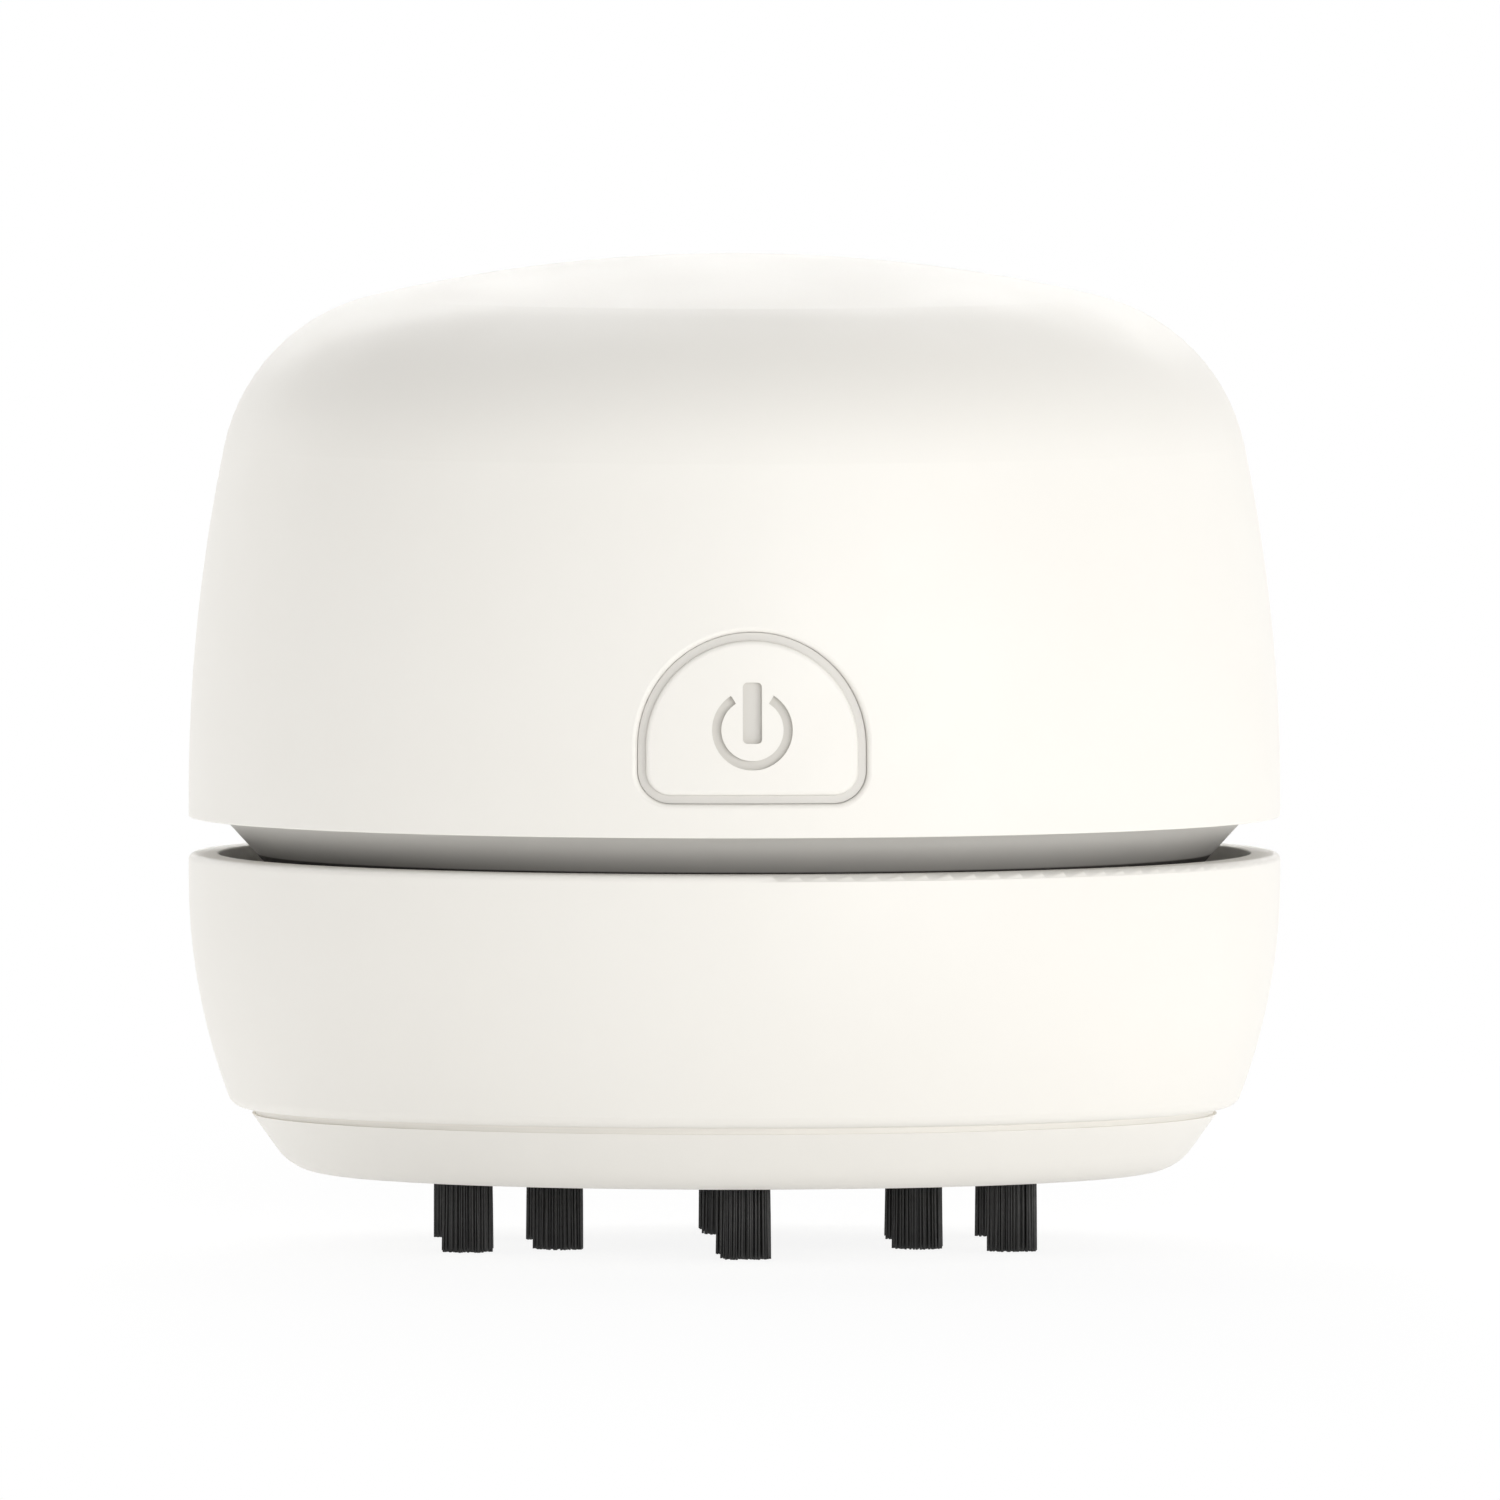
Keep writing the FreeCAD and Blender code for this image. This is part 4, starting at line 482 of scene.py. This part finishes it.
def gilded():
    surface = Surface("gilded_contact", metallic=1.0)
    worn = surface.noise(6000, 3.0)
    surface.mottled(worn, (0.86, 0.62, 0.26), (0.74, 0.52, 0.20))
    surface.roughness(surface.spread(worn, 0.18, 0.32))
    return surface


def red_lead():
    return lead_cover("red_lead", (0.50, 0.02, 0.018), (0.40, 0.014, 0.012))


def black_lead():
    return lead_cover("black_lead", (0.018, 0.018, 0.018), (0.010, 0.010, 0.010))


SLOT_SURFACES = (
    white_plastic, grey_plastic, black_plastic, seal_rubber, plated_steel, screw_steel,
    core_steel, magnet, bronze, copper, nickel, cell_sleeve, board, component, ceramic_disc,
    clear_plastic, filter_fabric, red_lead, black_lead, nylon_bristle,
)
surfaces = {make.__name__: make().material for make in SLOT_SURFACES}
own_surfaces = {
    "top_shell": shell_plastic().material,
    "power_button": button_plastic().material,
    "dust_cup": cup_plastic().material,
    "brush_tray": tray_shaded_plastic().material,
    "chassis": skirt_plastic().material,
    "rotor_windings": enamelled_wire().material,
}


def dress_nodes():
    """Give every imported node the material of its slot, or one of its own."""
    slots = {row["node"]: row["material_slot"] for row in frame["record"]["subparts"]}
    for name, node in frame["nodes"].items():
        material = own_surfaces.get(name) or surfaces[slots[name]]
        for slot in node.material_slots:
            slot.material = material
        if not node.material_slots:
            node.data.materials.append(material)


# ---------------------------------------------------------------- meshes


def new_piece(name, mesh, material, body, replaced=()):
    """Link a finished bmesh as a smooth piece that rides on a body."""
    data = bpy.data.meshes.new(name)
    mesh.to_mesh(data)
    mesh.free()
    data.materials.append(material)
    data.polygons.foreach_set("use_smooth", [True] * len(data.polygons))
    piece = bpy.data.objects.new(name, data)
    bpy.context.scene.collection.objects.link(piece)
    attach(piece, body)
    if replaced:
        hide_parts(*replaced)


FILAMENTS = 260
FILAMENT_RADIUS = 0.09 * MM
FILAMENT_SIDES = 5
FILAMENT_RINGS = 3
TUFT_FILL = 1.72 * MM                   # radius that the filaments' roots fill
TIP_SPREAD = 0.10 * MM                  # how far the outermost tips lean out
STRAY_SHARE = 0.6                       # a tip's and a bow's random part, as shares of that
BOW_SHARE = 0.3
TIP_SHORT = 0.28 * MM                   # how much shorter than the longest one a filament may be
GOLDEN_TURN = math.radians(137.508)


def add_filament(mesh, root, tip, bow):
    """A thin round rod from root to tip with a slight bow, closed at the tip."""
    rings = []
    for ring in range(FILAMENT_RINGS + 1):
        share = ring / FILAMENT_RINGS
        middle = root.lerp(tip, share) + bow * math.sin(math.pi * share)
        corners = []
        for side in range(FILAMENT_SIDES):
            angle = 2 * math.pi * side / FILAMENT_SIDES
            offset = Vector((math.cos(angle), math.sin(angle), 0)) * FILAMENT_RADIUS
            corners.append(mesh.verts.new(middle + offset))
        rings.append(corners)
    for upper, lower in zip(rings, rings[1:]):
        for side in range(FILAMENT_SIDES):
            following = (side + 1) % FILAMENT_SIDES
            mesh.faces.new((upper[side], lower[side], lower[following], upper[following]))
    mesh.faces.new(list(reversed(rings[-1])))
    mesh.faces.new(rings[0])


def make_bristles():
    """Each tuft as its separate filaments, cut level with slightly uneven tips."""
    nodes = sorted(name for name in frame["nodes"] if name.startswith("bristle_tuft_"))
    for number, node in enumerate(nodes, 1):
        low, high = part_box(node)
        centre = (low + high) / 2
        draw = random.Random(number)
        mesh = bmesh.new()
        for count in range(FILAMENTS):
            radius = TUFT_FILL * math.sqrt((count + 0.5) / FILAMENTS)
            angle = count * GOLDEN_TURN
            outward = Vector((math.cos(angle), math.sin(angle), 0))
            root = Vector((centre.x, centre.y, high.z)) + outward * radius
            stray = Vector((draw.uniform(-1, 1), draw.uniform(-1, 1), 0)) * TIP_SPREAD
            spread = outward * TIP_SPREAD * radius / TUFT_FILL
            tip = Vector((root.x, root.y, low.z)) + spread + stray * STRAY_SHARE
            tip.z += TIP_SHORT * draw.random() ** 2
            bow = Vector((draw.uniform(-1, 1), draw.uniform(-1, 1), 0)) * TIP_SPREAD * BOW_SHARE
            add_filament(mesh, root, tip, bow)
        new_piece(f"bristles_{number:02d}", mesh, surfaces["nylon_bristle"], "dust_cup",
                  (node,))


RING_SIDES = 96
RING_BEVEL = 0.3                        # a ring's broken corners, as a share of its height


def add_ring(mesh, inner, outer, foot, top):
    """A flat ring about the upright axis, with broken corners."""
    bevel = (top - foot) * RING_BEVEL
    outline = (
        (inner, foot), (outer - bevel, foot), (outer, foot + bevel),
        (outer, top - bevel), (outer - bevel, top), (inner, top),
    )
    rings = []
    for side in range(RING_SIDES):
        angle = 2 * math.pi * side / RING_SIDES
        across, along = math.cos(angle), math.sin(angle)
        rings.append([mesh.verts.new((reach * across, reach * along, z)) for reach, z in outline])
    for side in range(RING_SIDES):
        this, following = rings[side], rings[(side + 1) % RING_SIDES]
        for corner in range(len(outline)):
            after = (corner + 1) % len(outline)
            mesh.faces.new((this[corner], following[corner], following[after], this[after]))


PLEAT_STEPS = 8                         # mesh columns in each pleat
CLOTH_PLEATS = 25
CLOTH_ROWS = 16
CLOTH_THICK = 0.3 * MM
CLOTH_HEM = 1.0 * MM                    # flat edge that seals in the frame
PLEAT_LEAN = 0.12 * MM                  # how far a pleat's crest may stray
FOLD_SHARPNESS = 0.93                   # a fold is a sine near 0, and a sharp zigzag at 1
HEM_INSET = 0.02 * MM                   # the hem keeps this far inside the filter's box
HEM_THICKNESS = 1.4                     # in thicknesses of the cloth


def cloth_sheet(mesh, low, high):
    """Straight rounded pleats across a round outline, one sheet thick."""
    reach = high.x - CLOTH_HEM / 2
    middle = (low.z + high.z - CLOTH_THICK) / 2
    swing = (high.z - low.z - CLOTH_THICK) / 2
    columns = CLOTH_PLEATS * PLEAT_STEPS
    draw = random.Random(31)
    stray = [draw.uniform(-1, 1) for _ in range(CLOTH_PLEATS + 2)]
    rows = []
    for column in range(1, columns):
        pleat, part = divmod(column, PLEAT_STEPS)
        x = reach * (2 * column / columns - 1)
        half = math.sqrt(reach ** 2 - x ** 2)
        fold = FOLD_SHARPNESS * math.sin(2 * math.pi * part / PLEAT_STEPS)
        height = middle + swing * math.asin(fold) / math.asin(FOLD_SHARPNESS)
        lean = stray[pleat] + (stray[pleat + 1] - stray[pleat]) * part / PLEAT_STEPS
        points = []
        for row in range(CLOTH_ROWS + 1):
            share = 2 * row / CLOTH_ROWS - 1
            sway = PLEAT_LEAN * lean * math.cos(math.pi * share * 1.5) * (1 - share ** 4)
            points.append(mesh.verts.new((x + sway, half * share, height)))
        rows.append(points)
    for left, right in zip(rows, rows[1:]):
        for row in range(CLOTH_ROWS):
            mesh.faces.new((left[row], right[row], right[row + 1], left[row + 1]))


def make_filter_cloth():
    """The pleated filter: folded cloth with a flat round hem."""
    low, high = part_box("pleated_filter")
    mesh = bmesh.new()
    cloth_sheet(mesh, low, high)
    bmesh.ops.solidify(mesh, geom=mesh.faces[:], thickness=-CLOTH_THICK)
    hem_low = low.z + HEM_INSET
    hem_high = hem_low + CLOTH_THICK * HEM_THICKNESS
    add_ring(mesh, high.x - CLOTH_HEM, high.x - HEM_INSET, hem_low, hem_high)
    bmesh.ops.recalc_face_normals(mesh, faces=mesh.faces[:])
    new_piece("filter_cloth", mesh, surfaces["filter_fabric"], "filter_unit",
              ("pleated_filter",))


CONTACTS = 12                           # on each face of the socket's tongue
CONTACT_PITCH = 0.5 * MM
CONTACT_WIDTH = 0.28 * MM
CONTACT_LENGTH = 3.4 * MM
CONTACT_RISE = 0.05 * MM                # how far a contact stands out of the tongue
CONTACT_ROUND = 0.6                     # its rounded edge, in rises
TONGUE_SETBACK = 1.5 * MM               # how far the tongue's end lies inside the mouth
TONGUE_HALF = 0.33 * MM                 # half the tongue's thickness


def add_bar(mesh, centre, size, bevel):
    """A small block with rounded edges."""
    made = bmesh.ops.create_cube(mesh, size=1.0)["verts"]
    bmesh.ops.scale(mesh, vec=size, verts=made)
    bmesh.ops.translate(mesh, vec=centre, verts=made)
    edges = {edge for vert in made for edge in vert.link_edges}
    bmesh.ops.bevel(mesh, geom=list(edges), offset=bevel, segments=2, affect="EDGES")


def make_socket_contacts():
    """Gilded contacts on both faces of the charging socket's tongue."""
    low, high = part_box("charging_socket")
    middle = (low + high) / 2
    front = high.y - TONGUE_SETBACK - CONTACT_WIDTH
    mesh = bmesh.new()
    for face in (-1, 1):
        for count in range(CONTACTS):
            x = middle.x + (count - (CONTACTS - 1) / 2) * CONTACT_PITCH
            centre = Vector((x, front - CONTACT_LENGTH / 2, middle.z + face * TONGUE_HALF))
            size = (CONTACT_WIDTH, CONTACT_LENGTH, CONTACT_RISE * 2)
            add_bar(mesh, centre, size, CONTACT_RISE * CONTACT_ROUND)
    new_piece("socket_contacts", mesh, gilded().material, "main_unit")


# ---------------------------------------------------------------- room and light


def shader_tree(holder):
    holder.use_nodes = True
    holder.node_tree.nodes.clear()
    return holder.node_tree


def larger_of(tree, first, second):
    larger = tree.nodes.new("ShaderNodeMath")
    larger.operation = "MAXIMUM"
    tree.links.new(first, larger.inputs[0])
    tree.links.new(second, larger.inputs[1])
    return larger.outputs[0]


def smooth_rise(tree, source, start, end, low, high):
    """From low, where the source is at start, smoothly to high at end."""
    rise = tree.nodes.new("ShaderNodeMapRange")
    rise.interpolation_type = "SMOOTHSTEP"
    for name, value in (("From Min", start), ("From Max", end), ("To Min", low), ("To Max", high)):
        rise.inputs[name].default_value = value
    tree.links.new(source, rise.inputs["Value"])
    return rise.outputs["Result"]


FLOOR_REACH = 12                        # metres from the middle to each side
FLOOR_DROP = 0.02 * MM                  # keeps the floor just clear of the bristles' tips
FLOOR_PAINT = (0.92, 0.92, 0.92, 1)
FLOOR_SHARE = 0.85                      # the camera sees this share of plain white near the object
SHADED_FLOOR = 0.04                     # out to this many metres from the axis,
CLEAR_FLOOR = 0.30                      # and nothing but white beyond this many
NEAR_GLOW = 0.20                        # the floor is a light table that lights the object,
FAR_GLOW = 0.64                         # and glows more to its left and right
GLOW_START = 0.02                       # metres sideways from the axis where the glow begins to rise
GLOW_END = 0.10                         # and where it is full
LEVEL_SKY = 0.50                        # light from the horizon
HIGH_SKY = 0.46                         # and from high up
SKY_TOP = 0.7                           # sine of the elevation where the high sky begins


def make_floor():
    """A pale floor, white to the camera except for the object's soft shadow.

    It also glows, which lights the object from below, more from its left and right.
    """
    mesh = bmesh.new()
    bmesh.ops.create_grid(mesh, x_segments=1, y_segments=1, size=FLOOR_REACH)
    data = bpy.data.meshes.new("floor")
    mesh.to_mesh(data)
    mesh.free()
    floor = bpy.data.objects.new("floor", data)
    floor.location.z = -FLOOR_DROP
    bpy.context.scene.collection.objects.link(floor)

    material = bpy.data.materials.new("pale_floor")
    data.materials.append(material)
    tree = shader_tree(material)
    paint = tree.nodes.new("ShaderNodeBsdfDiffuse")
    paint.inputs["Color"].default_value = FLOOR_PAINT
    place = tree.nodes.new("ShaderNodeTexCoord")
    reach = tree.nodes.new("ShaderNodeVectorMath")
    reach.operation = "LENGTH"
    tree.links.new(place.outputs["Object"], reach.inputs[0])
    distance = reach.outputs["Value"]
    fade = smooth_rise(tree, distance, SHADED_FLOOR, CLEAR_FLOOR, FLOOR_SHARE, 1.0)
    split = tree.nodes.new("ShaderNodeSeparateXYZ")
    tree.links.new(place.outputs["Object"], split.inputs[0])
    sideways = tree.nodes.new("ShaderNodeMath")
    sideways.operation = "ABSOLUTE"
    tree.links.new(split.outputs["X"], sideways.inputs[0])
    glow = smooth_rise(tree, sideways.outputs[0], GLOW_START, GLOW_END, NEAR_GLOW, FAR_GLOW)
    ray = tree.nodes.new("ShaderNodeLightPath")
    seen = larger_of(tree, ray.outputs["Is Camera Ray"], ray.outputs["Is Glossy Ray"])
    share = tree.nodes.new("ShaderNodeMath")
    share.operation = "MULTIPLY"
    tree.links.new(seen, share.inputs[0])
    tree.links.new(fade, share.inputs[1])
    underglow = tree.nodes.new("ShaderNodeEmission")
    tree.links.new(glow, underglow.inputs["Strength"])
    lit = tree.nodes.new("ShaderNodeAddShader")
    tree.links.new(paint.outputs[0], lit.inputs[0])
    tree.links.new(underglow.outputs[0], lit.inputs[1])
    white = tree.nodes.new("ShaderNodeEmission")
    white.inputs["Strength"].default_value = 1.0
    mix = tree.nodes.new("ShaderNodeMixShader")
    tree.links.new(share.outputs[0], mix.inputs[0])
    tree.links.new(lit.outputs[0], mix.inputs[1])
    tree.links.new(white.outputs[0], mix.inputs[2])
    output = tree.nodes.new("ShaderNodeOutputMaterial")
    tree.links.new(mix.outputs[0], output.inputs["Surface"])


def make_world():
    """Soft light from all sides, a little stronger low down; white to the camera and in gloss."""
    world = bpy.data.worlds.new("studio")
    bpy.context.scene.world = world
    tree = shader_tree(world)
    direction = tree.nodes.new("ShaderNodeTexCoord")
    split = tree.nodes.new("ShaderNodeSeparateXYZ")
    tree.links.new(direction.outputs["Generated"], split.inputs[0])
    fall = smooth_rise(tree, split.outputs["Z"], 0.0, SKY_TOP, LEVEL_SKY, HIGH_SKY)
    soft = tree.nodes.new("ShaderNodeBackground")
    soft.inputs["Color"].default_value = (1, 1, 1, 1)
    tree.links.new(fall, soft.inputs["Strength"])
    white = tree.nodes.new("ShaderNodeBackground")
    white.inputs["Strength"].default_value = 1.0
    white.inputs["Color"].default_value = (1, 1, 1, 1)
    ray = tree.nodes.new("ShaderNodeLightPath")
    seen = larger_of(tree, ray.outputs["Is Camera Ray"], ray.outputs["Is Glossy Ray"])
    mix = tree.nodes.new("ShaderNodeMixShader")
    tree.links.new(seen, mix.inputs[0])
    tree.links.new(soft.outputs[0], mix.inputs[1])
    tree.links.new(white.outputs[0], mix.inputs[2])
    output = tree.nodes.new("ShaderNodeOutputWorld")
    tree.links.new(mix.outputs[0], output.inputs["Surface"])


LIGHT_AIM = Vector((0, 0, 36 * MM))


def make_light(name, azimuth, elevation, distance, width, height, level, tint=(1, 1, 1)):
    """A soft box aimed at the object. Azimuth 0 is the front, and 90 the right side.

    Level is the brightness that it gives to a white surface that faces it.
    """
    lamp = bpy.data.lights.new(name, "AREA")
    lamp.shape = "RECTANGLE"
    lamp.size = width
    lamp.size_y = height
    lamp.energy = level * math.pi ** 2 * distance ** 2
    lamp.color = tint
    light = bpy.data.objects.new(name, lamp)
    turn, rise = math.radians(azimuth), math.radians(elevation)
    back = Vector((
        math.sin(turn) * math.cos(rise), -math.cos(turn) * math.cos(rise), math.sin(rise),
    ))
    light.location = LIGHT_AIM + back * distance
    light.rotation_mode = "QUATERNION"
    light.rotation_quaternion = (-back).to_track_quat("-Z", "Y")
    bpy.context.scene.collection.objects.link(light)


def make_lights():
    warm = (1.0, 0.995, 0.985)
    make_light("key", 27, 4, 1.3, 1.0, 0.4, 0.445, warm)
    make_light("back", 180, 54, 1.5, 1.4, 0.6, 0.25)
    make_light("sheen", 180, 24, 1.5, 1.4, 0.12, 0.20)
    make_light("side_left", -131, 14, 1.2, 0.7, 0.4, 0.055)
    make_light("side_right", 131, 4, 1.2, 0.7, 0.2, 0.01)


make_camera()
make_world()
make_floor()
make_lights()
dress_nodes()
make_bristles()
make_filter_cloth()
make_socket_contacts()
bpy.context.scene.view_settings.view_transform = "Standard"
